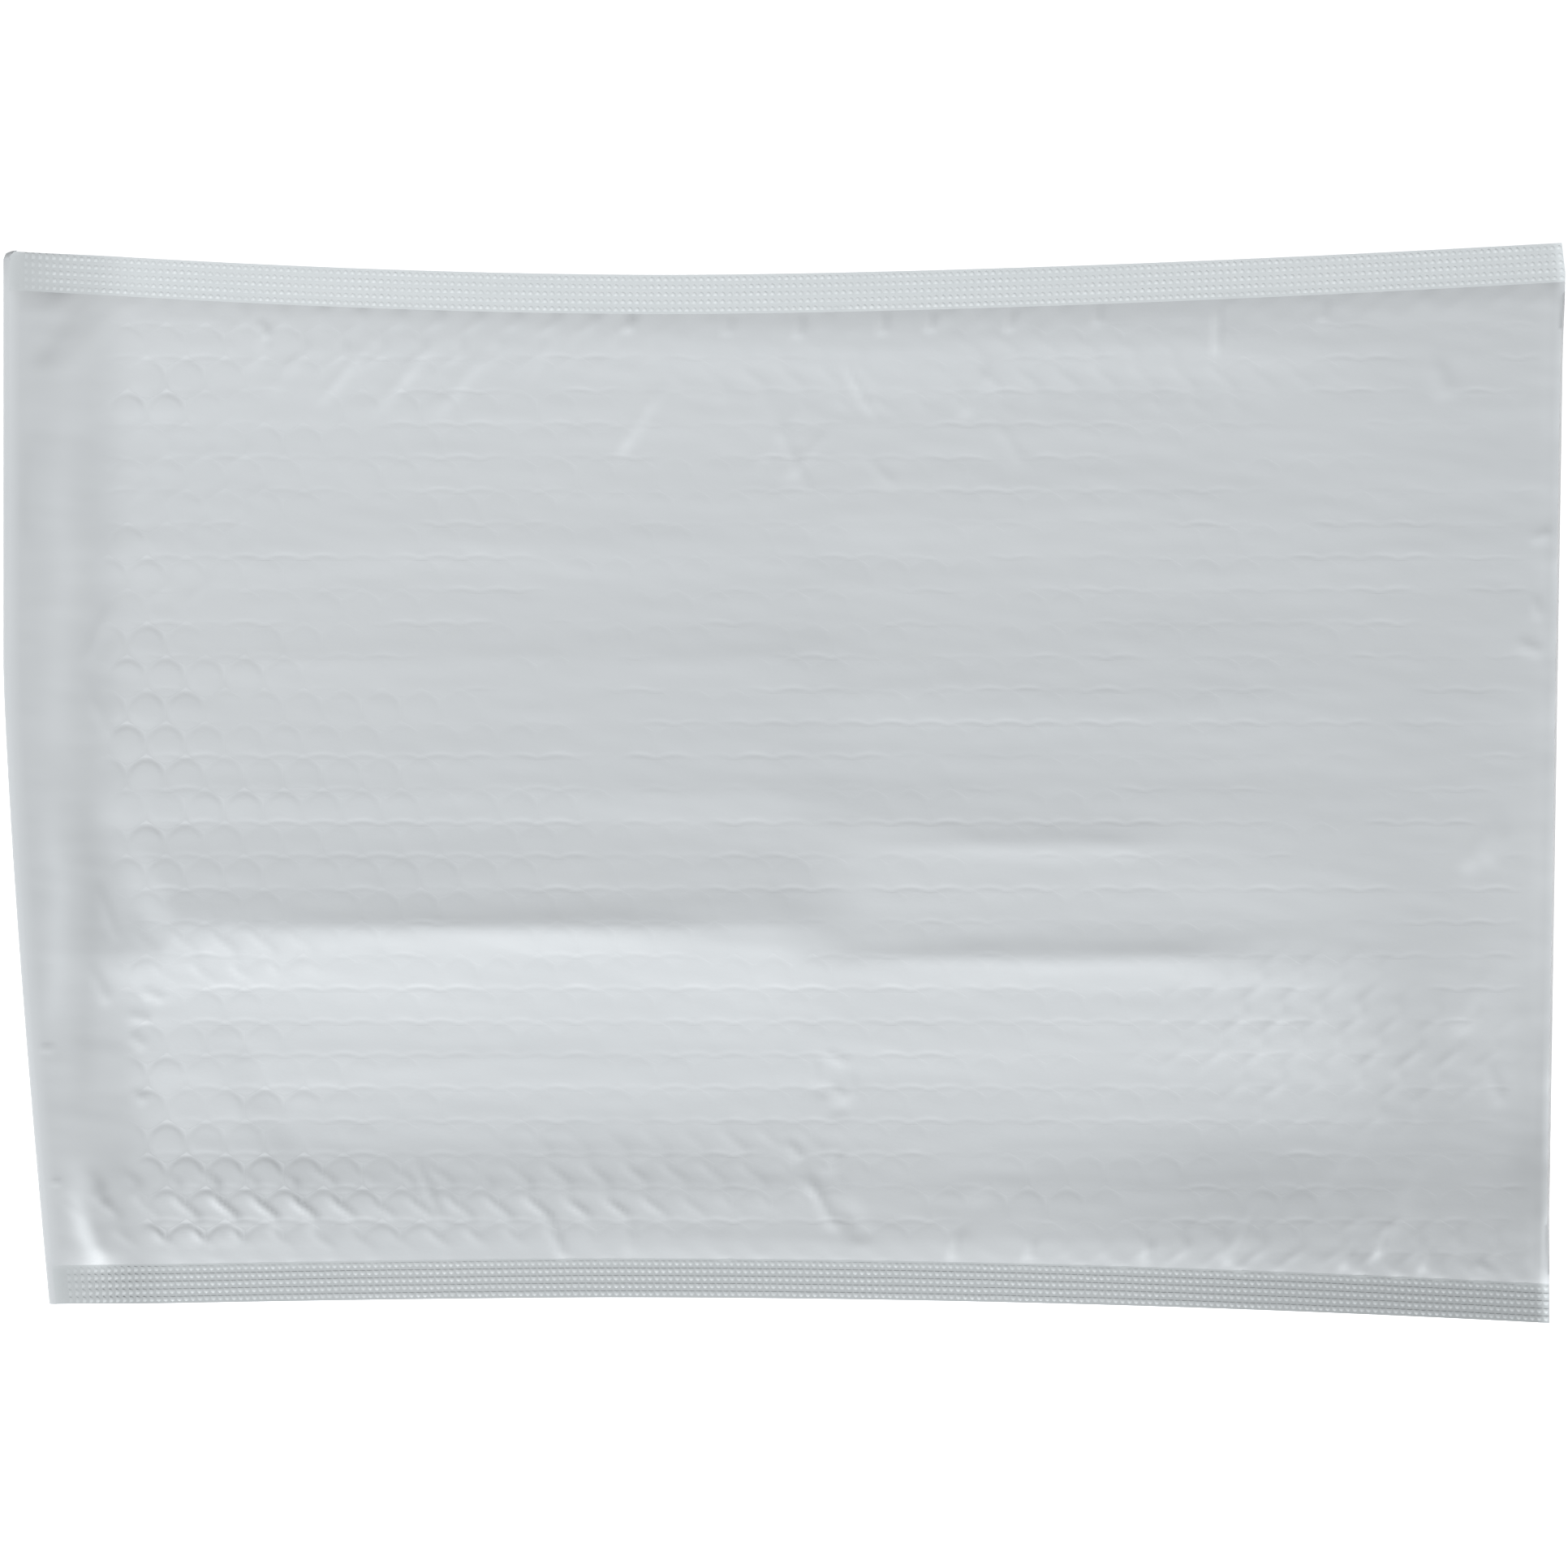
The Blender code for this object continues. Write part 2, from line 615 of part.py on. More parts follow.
def build_bubble_lining(material):
    """Two layers of bubble film, joined at the bottom fold, with a groove between each two bubble rows."""
    shell = bmesh.new()
    along = lining_stations()
    near = [lining_side(NEAR, share) for share in along]
    far = [lining_side(FAR, share) for share in along]
    inset = SHOULDER_WALL + LINING_INSET
    mouth = lining_cross(near[0], far[0], lambda y: fold_x(y) + BARE_BAND)
    slit = lining_cross(near[-2], far[-2], lambda y: bottom_x(y) - inset - POCKET_END)
    closed = lining_cross(near[-1], far[-1], lambda y: bottom_x(y) - inset)

    outline = mouth + far[1:] + closed[-2::-1] + near[-2:0:-1]
    pocket = mouth + far[1:-1] + slit[-2::-1] + near[-3:0:-1]
    steps = band_lines([start for start in STEP_LINES if start > BARE_BAND], SHOULDER)
    reach = (ROW_START, SHOULDER + SHOULDER_WALL)
    ridges = row_lines(0.0, *reach, 1, 0.0) + row_lines(ROW_PITCH / 2, *reach, 1, 0.0)
    folds = row_lines(0.0, *reach, ROW_STEP_COUNT, 0.0)
    add_sheet(shell, outline, lining_top, ridges)
    add_sheet(shell, pocket, pocket_ceiling, folds)
    add_sheet(shell, pocket, pocket_floor, folds)
    add_sheet(shell, outline, lining_bottom, steps)

    add_strip(shell, lay(mouth, lining_top), lay(mouth, pocket_ceiling))
    add_strip(shell, lay(mouth, pocket_floor), lay(mouth, lining_bottom))
    add_strip(shell, lay(slit, pocket_ceiling), lay(slit, pocket_floor))
    add_strip(shell, lay(closed, lining_top), lay(closed, lining_bottom))
    for edge in (near, far):
        add_strip(shell, lay(edge[:-1], lining_top), lay(edge[:-1], pocket_ceiling))
        add_strip(shell, lay(edge[:-1], pocket_floor), lay(edge[:-1], lining_bottom))
        corner = edge[-2:-1]
        end = lay(edge[-2:], lining_top) + lay(edge[:-3:-1], lining_bottom)
        end += lay(corner, pocket_floor) + lay(corner, pocket_ceiling)
        shell.faces.new([shell.verts.new(point) for point in end])
    return close_shell("bubble_lining", shell, material)


def build_flap_strip(name, start, width, bottom, thickness, material):
    """Thin strip along the inner face of the flap, clear of both seals."""
    low_y = SEAL_WIDTH + STRIP_MARGIN - NEAR_AT_FLAP
    high_y = FAR_AT_FLAP - SEAL_WIDTH - STRIP_MARGIN
    heights = [blend(low_y, high_y, step / FOLD_STATIONS) for step in range(FOLD_STATIONS + 1)]
    shell = bmesh.new()
    corners = []
    top = bottom + thickness
    for offset, z in ((0.0, bottom), (width, bottom), (width, top), (0.0, top)):
        corners.append([(fold_x(y) + start + offset, y, z) for y in heights])
    for first, second in zip(corners, corners[1:] + corners[:1]):
        add_strip(shell, first, second)
    for end in (0, -1):
        shell.faces.new([shell.verts.new(line[end]) for line in corners])
    return close_shell(name, shell, material)


def finish(name, colour, roughness):
    """Principled material of one finish."""
    material = bpy.data.materials.new(name)
    material.use_nodes = True
    shader = material.node_tree.nodes["Principled BSDF"]
    shader.inputs["Base Color"].default_value = (*colour, 1.0)
    shader.inputs["Roughness"].default_value = roughness
    shader.inputs["Metallic"].default_value = 0.0
    return material


def film_finish():
    return finish("satin_film", (0.66, 0.68, 0.70), 0.32)


def lining_finish():
    return finish("bubble_film", (0.72, 0.75, 0.76), 0.22)


def adhesive_finish():
    return finish("adhesive", (0.62, 0.60, 0.52), 0.45)


def liner_finish():
    return finish("liner_paper", (0.80, 0.80, 0.78), 0.55)


def empty_scene():
    """Remove the objects that the scene holds."""
    for item in list(bpy.data.objects):
        bpy.data.objects.remove(item, do_unlink=True)


def build_envelope():
    """Build each piece and hang it on one empty."""
    empty_scene()
    envelope = bpy.data.objects.new("padded_envelope", None)
    bpy.context.scene.collection.objects.link(envelope)
    adhesive_bottom = FILM + CLEARANCE
    liner_bottom = adhesive_bottom + ADHESIVE_THICKNESS + CLEARANCE
    liner_start = ADHESIVE_FROM_FOLD - (LINER_WIDTH - ADHESIVE_WIDTH) / 2
    pieces = (
        build_outer_film(film_finish()),
        build_bubble_lining(lining_finish()),
        build_flap_strip(
            "adhesive_strip",
            ADHESIVE_FROM_FOLD,
            ADHESIVE_WIDTH,
            adhesive_bottom,
            ADHESIVE_THICKNESS,
            adhesive_finish(),
        ),
        build_flap_strip(
            "release_liner", liner_start, LINER_WIDTH, liner_bottom, LINER_THICKNESS, liner_finish()
        ),
    )
    for piece in pieces:
        piece.parent = envelope


build_envelope()
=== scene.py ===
"""Looks of the padded envelope: satin white film over a bubble lining, lying flat, seen from straight above.

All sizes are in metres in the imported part's frame, unless they are said to be in millimetres. The flap fold
is at -X, the bottom fold at +X, a crimped seal runs along each long side, and the envelope rests on z = 0.
"""

import logging
import math
from dataclasses import dataclass
from enum import Enum

import bmesh
import bpy
import numpy as np
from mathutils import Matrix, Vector
from mathutils.geometry import delaunay_2d_cdt

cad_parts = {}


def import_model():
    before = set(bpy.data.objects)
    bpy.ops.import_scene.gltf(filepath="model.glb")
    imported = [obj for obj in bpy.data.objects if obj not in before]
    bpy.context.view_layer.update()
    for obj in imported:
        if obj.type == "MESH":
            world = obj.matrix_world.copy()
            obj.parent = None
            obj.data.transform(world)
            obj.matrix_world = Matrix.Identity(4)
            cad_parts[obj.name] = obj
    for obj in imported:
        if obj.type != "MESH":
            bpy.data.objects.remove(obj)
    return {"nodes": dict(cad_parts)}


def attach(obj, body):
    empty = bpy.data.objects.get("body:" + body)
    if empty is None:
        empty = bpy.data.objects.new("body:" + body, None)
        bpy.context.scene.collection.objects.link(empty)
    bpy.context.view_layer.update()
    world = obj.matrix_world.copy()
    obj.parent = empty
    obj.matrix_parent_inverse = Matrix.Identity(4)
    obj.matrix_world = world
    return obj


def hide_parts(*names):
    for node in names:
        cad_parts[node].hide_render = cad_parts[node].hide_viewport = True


Array = np.ndarray
Material = bpy.types.Material
Piece = bpy.types.Object
Socket = bpy.types.NodeSocket

MM = 0.001
WAVE_COUNT = 18
GRID_ROUNDS = 5
CREASE_RISE = 0.45
CREASE_FADE = 0.25
WELD_DISTANCE = 0.000002
JOIN_DISTANCE = 1e-7
SHARP_ANGLE_DEG = 60
LOG = logging.getLogger("padded_envelope")


class LongSide(Enum):
    """The two long sides of the envelope, each with the sign of its y."""

    FAR = 1
    NEAR = -1


def smooth(share: Array) -> Array:
    """S-curve from 0 to 1, level at both ends."""
    share = np.clip(share, 0.0, 1.0)
    return share * share * (3 - 2 * share)


def swell(share: Array, fullness: float = 2.0) -> Array:
    """Round shoulder from 0 to 1, steep at its start and level at its end."""
    share = np.clip(share, 0.0, 1.0)
    return 1 - (1 - share) ** fullness


def blend(start: Array | float, end: Array | float, share: Array) -> Array:
    """Mix of two values, start at 0 and end at 1."""
    return start + (end - start) * share


def bell(distance: Array) -> Array:
    """Soft bump, 1 at 0 and near 0 from 2 on."""
    return np.exp(-distance * distance)


@dataclass(frozen=True)
class Waves:
    """Seeded smooth unevenness, with the typical length of its waves along each axis."""

    length_x: float
    length_y: float
    seed: int

    def at(self, x: Array, y: Array) -> Array:
        """Unevenness of unit spread.

        Args:
            x, y: places in metres.

        Returns:
            A value near -2 to 2 at each place.
        """
        draws = np.random.RandomState(self.seed)
        total = np.zeros_like(x)
        for _ in range(WAVE_COUNT):
            turns_x = draws.normal() / self.length_x
            turns_y = draws.normal() / self.length_y
            phase = draws.uniform(0, math.tau)
            total += np.cos(math.tau * (turns_x * x + turns_y * y) + phase)
        return total * math.sqrt(2 / WAVE_COUNT)

    def about_one(self, x: Array, y: Array, amount: float) -> Array:
        """The unevenness in the given amount about 1."""
        return 1 + amount * self.at(x, y)


# Unevenness of each feature; the pleats beside the far seal come before those beside the near seal
PLEAT_WAVES = (Waves(0.03, 0.2, 5), Waves(0.03, 0.2, 6))
EDGE_WAVES = Waves(0.4, 0.03, 7)
ROW_WAVES = Waves(0.12, 0.08, 8)
RIM_WAVES = Waves(0.5, 0.03, 9)
BROAD_WAVES = Waves(0.30, 0.024, 11)
FINE_WAVES = Waves(0.05, 0.012, 12)
BUBBLE_WAVES = Waves(0.05, 0.03, 21)
BREAK_WAVES = Waves(0.03, 0.1, 22)
GROOVE_WAVES = Waves(0.06, 0.008, 23)
TROUGH_WAVES = Waves(0.06, 0.02, 31)
DOT_WAVES = Waves(0.02, 0.01, 41)
TONE_WAVES = Waves(0.5, 0.05, 51)


def crowded(count: int, amount: float) -> Array:
    """Shares from 0 to 1, closer together at both ends."""
    even = np.linspace(0.0, 1.0, count + 1)
    return even - amount * np.sin(math.tau * even) / math.tau * 2


@dataclass(frozen=True)
class Step:
    """A smooth change from 0 to 1."""

    start: float
    run: float

    def at(self, value: Array) -> Array:
        """Share of the change that is done at each value."""
        return smooth((value - self.start) / self.run)


@dataclass(frozen=True)
class SideCurve:
    """One waisted long side: how far it lies from the middle line at each x."""

    side: LongSide
    at_flap: float
    at_waist: float
    at_bottom: float
    waist_from_flap: float
    flap_power: float
    bottom_power: float

    def reach(self, x: Array, length: float) -> Array:
        """Distance of the outer edge from the middle line."""
        flap_x = -length / 2
        waist_x = flap_x + self.waist_from_flap
        to_flap = np.clip((waist_x - x) / (waist_x - flap_x), 0.0, None) ** self.flap_power
        to_bottom = np.clip((x - waist_x) / (length / 2 - waist_x), 0.0, None) ** self.bottom_power
        reach = self.at_waist + (self.at_flap - self.at_waist) * to_flap
        return reach + (self.at_bottom - self.at_waist) * to_bottom


@dataclass(frozen=True)
class Outline:
    """The envelope's outline from above, and grids that follow it."""

    length: float = 0.460
    far: SideCurve = SideCurve(LongSide.FAR, 0.1569, 0.1493, 0.1588, 0.196, 1.8, 1.6)
    near: SideCurve = SideCurve(LongSide.NEAR, 0.1537, 0.1510, 0.1588, 0.179, 1.45, 1.95)
    skew: float = 0.0136
    skew_power: float = 1.3
    kink_y: float = 0.035
    corner_radius: float = 0.0024
    bottom_taper: float = 0.0050
    corner_cut: float = 0.0014
    corner_cut_run: float = 0.0088
    seal_width: float = 0.0110
    fold_height: float = 0.0044

    def curve(self, side: LongSide) -> SideCurve:
        """The curve of one long side."""
        return self.far if side is LongSide.FAR else self.near

    def depth(self, side: LongSide, x: Array, y: Array) -> Array:
        """Distance in from one side's outer edge."""
        return self.curve(side).reach(x, self.length) - side.value * y

    def fold_x(self, y: Array) -> Array:
        """Outermost x of the flap fold, askew below its kink and round at its far corner."""
        below = np.clip(self.kink_y - y, 0.0, None) / (self.kink_y + self.near.at_flap)
        over = np.clip(y - (self.far.at_flap - self.corner_radius), 0.0, self.corner_radius)
        corner = self.corner_radius - np.sqrt(self.corner_radius ** 2 - over ** 2)
        return -self.length / 2 + self.skew * below ** self.skew_power + corner

    def bottom_x(self, y: Array) -> Array:
        """Outermost x of the bottom fold, with its far corner cut."""
        share = (self.far.at_bottom - y) / (self.far.at_bottom + self.near.at_bottom)
        cut = np.clip((y - self.far.at_bottom + self.corner_cut_run) / self.corner_cut_run, 0.0, 1.0)
        return self.length / 2 - self.bottom_taper * share - self.corner_cut * cut

    def panel_grid(self, along: Array, across: Array) -> tuple[Array, Array]:
        """Places between the two seals.

        Args:
            along: shares of the way from the flap fold to the bottom fold.
            across: shares of the way from the near seal to the far seal.

        Returns:
            x and y, with a row for each share along.
        """
        u, v = np.meshgrid(along, across, indexing="ij")
        x = blend(-self.length / 2, self.length / 2, u)
        y = np.zeros_like(x)
        for _ in range(GRID_ROUNDS):
            low = self.seal_width - self.near.reach(x, self.length)
            high = self.far.reach(x, self.length) - self.seal_width
            y = blend(low, high, v)
            x = blend(self.fold_x(y) + self.fold_height / 2, self.bottom_x(y), u)
        return x, y

    def seal_grid(self, side: LongSide, along: Array, depths: Array) -> tuple[Array, Array]:
        """Places on one seal.

        Args:
            side: the long side that the seal is on.
            along: shares of the way from the flap fold to the bottom fold.
            depths: distances in from the outer edge.

        Returns:
            x and y, with a row for each share along and a column for each depth.
        """
        u, depth = np.meshgrid(along, depths, indexing="ij")
        x = blend(-self.length / 2, self.length / 2, u)
        y = np.zeros_like(x)
        for _ in range(GRID_ROUNDS):
            y = side.value * (self.curve(side).reach(x, self.length) - depth)
            x = blend(self.fold_x(y) + self.fold_height / 2, self.bottom_x(y), u)
        return x, y


@dataclass(frozen=True)
class BubbleLattice:
    """Where the bubbles of the lining lie: staggered rows along the envelope."""

    pitch: float = 0.0115
    row_pitch: float = 0.00976
    first_x: float = -0.1870
    first_row_y: float = -0.1346
    radius: float = 0.0056
    rows: int = 29

    def row(self, y: Array) -> Array:
        """Row number at a height, counted from the near seal."""
        return (y - self.first_row_y) / self.row_pitch

    def slant(self, x: Array, y: Array, lean: int) -> Array:
        """Phase of the troughs that run askew between the bubbles, leaning one way or the other."""
        return (x - self.first_x) / self.pitch + lean * self.row(y) / 2


@dataclass(frozen=True)
class Crease:
    """One crease in the front film, in millimetres: a ridge, or a groove where its height is negative."""

    start: tuple[float, float]
    end: tuple[float, float]
    width: float
    height: float

    def lift(self, x: Array, y: Array) -> Array:
        """Height that the crease adds at each place."""
        run_x = (self.end[0] - self.start[0]) * MM
        run_y = (self.end[1] - self.start[1]) * MM
        length = math.hypot(run_x, run_y)
        from_x = x - self.start[0] * MM
        from_y = y - self.start[1] * MM
        along = (from_x * run_x + from_y * run_y) / length ** 2
        aside = (from_x * run_y - from_y * run_x) / length
        ends = smooth(along / CREASE_RISE) * smooth((1 - along) / CREASE_FADE)
        return self.height * MM * ends * bell(aside / (self.width * MM))


@dataclass(frozen=True)
class Patch:
    """A stretch of the front with troughs between its bubbles, in millimetres."""

    middle: tuple[float, float]
    reach: tuple[float, float]
    height: float
    lean: int
    sway: float = 0.10
    crest_share: float = 0.15
    varies: float = 0.4
    limits: tuple[float, float] = (0.3, 1.6)

    def lift(self, x: Array, y: Array, lattice: BubbleLattice) -> Array:
        """Height that the troughs add at each place."""
        gap_x = (x - self.middle[0] * MM) / (self.reach[0] * MM)
        gap_y = (y - self.middle[1] * MM) / (self.reach[1] * MM)
        varied = np.clip(TROUGH_WAVES.about_one(x, y, self.varies), *self.limits)
        phase = lattice.slant(x, y, self.lean) + self.sway * np.sin(math.tau * lattice.row(y))
        crest = bell((phase % 1.0 - 0.5) / self.crest_share)
        return self.height * MM * crest * varied * bell(np.hypot(gap_x, gap_y) ** 2)


@dataclass(frozen=True)
class RowLine:
    """A stretch of the groove between two bubble rows, with its x range in millimetres."""

    row: int
    start: float
    end: float
    strength: float
    fade: float = 25

    def strength_at(self, x: Array, y: Array, lattice: BubbleLattice) -> Array:
        """How deep the groove is at each place, 0 away from its row."""
        near_row = np.clip(1 - np.abs(lattice.row(y) + 0.5 - self.row), 0.0, 1.0)
        ends = smooth((x / MM - self.start) / self.fade) * smooth((self.end - x / MM) / self.fade)
        return self.strength * smooth(near_row * 2) * ends


# Heights in millimetres of the long folds at each half bubble row, from the near seal on, in the flap half
FLAP_HALF = (
    -0.1, -0.4, -0.6, -0.9, -1.5, -1.9, -2.3, -2.4, -2.3, -2.1, -1.7, -1.3, -1.0, -0.5, 0.1, 0.8, 1.7,
    2.6, 3.5, 4.0, 3.6, 3.1, 2.8, 2.5, 2.2, 2.0, 2.0, 2.0, 1.7, 1.6, 1.4, 1.2, 1.1, 0.9, 0.7, 0.6, 0.2,
    -0.1, -0.3, -0.5, -0.6, -0.5, -0.5, -0.7, -0.8, -0.8, -0.9, -0.9, -0.9, -0.8, -0.6, -0.5, -0.4,
    -0.2, 0.0, 0.0,
)
# The same in the bottom half
BOTTOM_HALF = (
    -0.1, -0.5, -1.0, -1.4, -1.9, -2.2, -2.4, -2.4, -2.3, -2.2, -2.0, -1.6, -1.1, -0.7, -0.3, 0.1, 0.8,
    1.1, 1.1, 1.0, 1.0, 1.1, 1.2, 1.3, 1.4, 1.3, 1.0, 0.8, 0.5, 0.4, 0.2, 0.2, 0.3, 0.2, -0.1, -0.3,
    -0.5, -0.7, -0.9, -1.0, -1.0, -1.1, -1.1, -1.0, -1.0, -1.1, -1.1, -1.1, -1.0, -0.9, -0.9, -0.8,
    -0.5, -0.2, 0.0, 0.0,
)
ROW_LINES = tuple(RowLine(*values) for values in (
    (0, -200, 180, 0.5), (1, -200, 60, 0.9), (2, -190, 10, 0.6), (3, -195, 0, 0.8), (4, -190, 150, 0.8),
    (5, -190, 120, 0.7), (6, -190, 40, 0.7), (7, -190, 180, 0.8), (8, -185, 60, 1.0),
    (11, -100, 190, 1.0), (12, -190, 30, 0.8), (13, -190, 150, 1.0), (15, -195, 40, 1.0),
    (16, 10, 190, 0.9), (21, -200, -70, 0.9), (24, -190, -60, 0.8), (23, 0, 160, 0.5),
    (26, -60, 150, 0.4), (18, -190, -100, 0.5),
))
PATCHES = (
    Patch((-128, -125), (80, 11), 0.44, 1),
    Patch((-178, -126), (26, 11), 0.25, 1),
    Patch((-165, -48), (30, 10), 0.20, 1),
    Patch((-30, -114), (60, 16), 0.16, 1),
    Patch((160, -75), (50, 26), 0.28, -1),
    Patch((150, -137), (70, 9), 0.30, -1),
    Patch((-110, 131), (70, 11), 0.24, -1),
    Patch((60, 118), (100, 12), 0.10, 1),
    Patch((-175, 90), (25, 50), 0.14, -1),
)


def creases(*rows: tuple[float, ...]) -> tuple[Crease, ...]:
    """Creases from rows of start x and y, end x and y, width and height, in millimetres."""
    return tuple(Crease(row[0:2], row[2:4], row[4], row[5]) for row in rows)


CREASES = creases(
    # Long ridges
    (-178, -42.5, -15, -42.5, 4.0, 0.6), (-10, -51.5, 150, -51.5, 4.0, 0.7),
    (18, -18.0, 120, -18.0, 3.5, 0.4),
    # Crinkle in the middle, near the near seal
    (5, -111.5, 16, -133, 1.5, 0.45), (0, -104, 6, -111, 1.2, 0.35), (18, -108, 14, -115, 1.2, 0.3),
    (9, -78, 20, -83, 1.4, 0.25), (12, -88, 20, -93, 1.4, 0.2), (8, -91, 15, -90, 1.8, -0.22),
    (13, -97, 20, -95, 1.8, -0.22), (10, -80, 9, -90, 1.2, 0.25), (20, -84, 21, -93, 1.2, 0.2),
    (17, -120, 24, -136, 3.0, -0.4), (60, -118, 52, -134, 3.0, -0.3),
    # Long wrinkles from the far seal
    (-33, 122, -48, 96, 1.6, 0.6), (14, 106, 0, 88, 1.6, 0.35), (-4, 112, 8, 84, 1.6, 0.16),
    (60, 110, 72, 92, 1.6, 0.14), (62, 126, 52, 106, 1.8, 0.4), (17, 125, 26, 107, 1.0, 0.22),
    (4, 112, -8, 92, 1.4, 0.25), (22, 98, 34, 86, 1.4, 0.16), (128, 143, 127, 125, 1.2, 0.45),
    (-120, 132, -138, 110, 2.0, 0.4), (-101, 132, -121, 108, 2.0, 0.4), (-86, 131, -103, 107, 2.0, 0.3),
    (-138, 130, -152, 114, 2.0, 0.25),
    # Short pleats below the far seal
    (-44, 139, -46, 132, 1.2, 0.4), (-15, 139, -17, 131, 1.2, 0.4), (6, 139, 4, 130, 1.2, 0.4),
    (30, 140, 29, 131, 1.2, 0.4), (44, 140, 43, 132, 1.2, 0.4), (68, 141, 66, 132, 1.2, 0.4),
    (93, 142, 92, 134, 1.2, 0.3), (160, 144, 158, 135, 1.4, 0.3), (-155, 137, -151, 130, 1.6, 0.4),
    # Long pleats beside the near seal
    (139, -126, 130, -143, 1.3, 0.55), (108, -134, 107, -142, 1.2, 0.4), (74, -133, 72, -141, 1.2, 0.4),
    (51, -131, 50, -141, 1.2, 0.4), (179, -127, 174, -140, 1.3, 0.45), (168, -136, 164, -144, 1.3, 0.45),
    (191, -135, 187, -145, 1.3, 0.45), (203, -140, 211, -146, 1.3, 0.4), (-70, -125, -64, -141, 1.3, 0.4),
    (-44, -128, -46, -141, 1.3, 0.3), (-110, -106, -99, -132, 1.2, 0.35),
    # Nicks in the bare band
    (-222, -77.5, -214, -78.5, 0.8, 0.35), (-220, -117.5, -212, -117.5, 0.8, 0.35),
    # Film lifted at the flap end of the near seal
    (-211, -114, -199, -143, 2.4, 0.6), (-203, -114, -197, -124, 2.4, -0.12),
    # Small crinkles at the bottom fold
    (214, 42, 224, 38, 1.6, 0.3), (219, 71, 226, 74, 1.6, 0.3), (221, 56, 222, 48, 1.4, 0.3),
    (214, -12, 206, -24, 2.4, 0.25), (206, -80, 212, -96, 2.0, 0.25),
    # Crinkles at the flap end of the lining
    (-190, -60, -181, -64, 1.4, 0.35), (-194, -68, -185, -70, 1.4, 0.35),
    (-193, -73, -187, -78, 1.4, 0.35), (-192, -90, -187, -94, 1.4, 0.35),
    (-202, -28, -195, -48, 1.4, 0.35), (-204, -52, -198, -66, 1.6, 0.4), (-205, 30, -197, 12, 2.0, 0.3),
    (-196, 56, -206, 34, 2.0, 0.25),
    # Diagonal fold across the flap end of the far seal
    (-202, 146, -221, 122, 3.2, -0.25), (-192, 146, -214, 118, 3.2, 0.25),
    # Soft folds beside the bottom fold
    (214, -8, 199, -27, 3.0, 0.35), (209, -51, 197, -75, 2.6, 0.4), (194, -110, 175, -137, 3.0, 0.15),
    (172, -104, 160, -124, 3.0, 0.12), (190, 128, 196, 112, 3.0, 0.25),
)
# Painted light and shade: stretches of the film painted lighter or darker where light and shade fall on its
# folds, their height being the change of tone
PAINTED_LIGHT_AND_SHADE = creases(
    (-216, 8, -214, -82, 3.6, 0.09), (-211, 134, -213, -6, 5.0, 0.07), (-206, 32, -204, -112, 3.8, -0.06),
    (-222, 106, -222, 66, 2.0, -0.03), (-199, 148, -222, 120, 3.2, -0.06),
    (-211, -108, -199, -147, 3.3, 0.26), (-205, -110, -197, -126, 2.6, -0.10),
    (-140, 128, 190, 124, 8.0, 0.025), (190, -20, 190, -112, 22.0, -0.09),
    (223, -30, 223, -135, 8.0, -0.10), (190, 90, 190, -60, 28.0, -0.04),
    # Painted highlights on the glossy crests of the sharper creases
    (3, -108, 18, -136, 1.4, 0.08), (-1, -103, 7, -113, 1.3, 0.05), (19, -107, 14, -116, 1.3, 0.06),
    (10, -76, 20, -83, 1.5, 0.06), (141, -122, 129, -146, 1.3, 0.12), (181, -124, 173, -143, 1.3, 0.09),
    (170, -132, 163, -147, 1.3, 0.09), (193, -131, 186, -148, 1.3, 0.09),
    (109, -130, 107, -145, 1.3, 0.07), (75, -130, 72, -144, 1.3, 0.07), (52, -128, 50, -144, 1.3, 0.07),
    (-31, 125, -50, 92, 1.7, 0.05), (16, 128, 27, 104, 1.2, 0.07), (128, 146, 127, 122, 1.2, 0.05),
    (-118, 133, -137, 112, 1.8, 0.05), (-99, 133, -120, 109, 1.8, 0.05), (-84, 131, -102, 107, 1.8, 0.04),
    (-66, 134, -76, 116, 1.6, 0.03), (-150, 132, -160, 118, 1.8, 0.03), (196, -106, 174, -140, 2.4, 0.05),
    (174, -100, 158, -126, 2.4, 0.04), (211, -48, 196, -78, 2.6, 0.04), (216, -4, 198, -30, 2.6, 0.04),
)


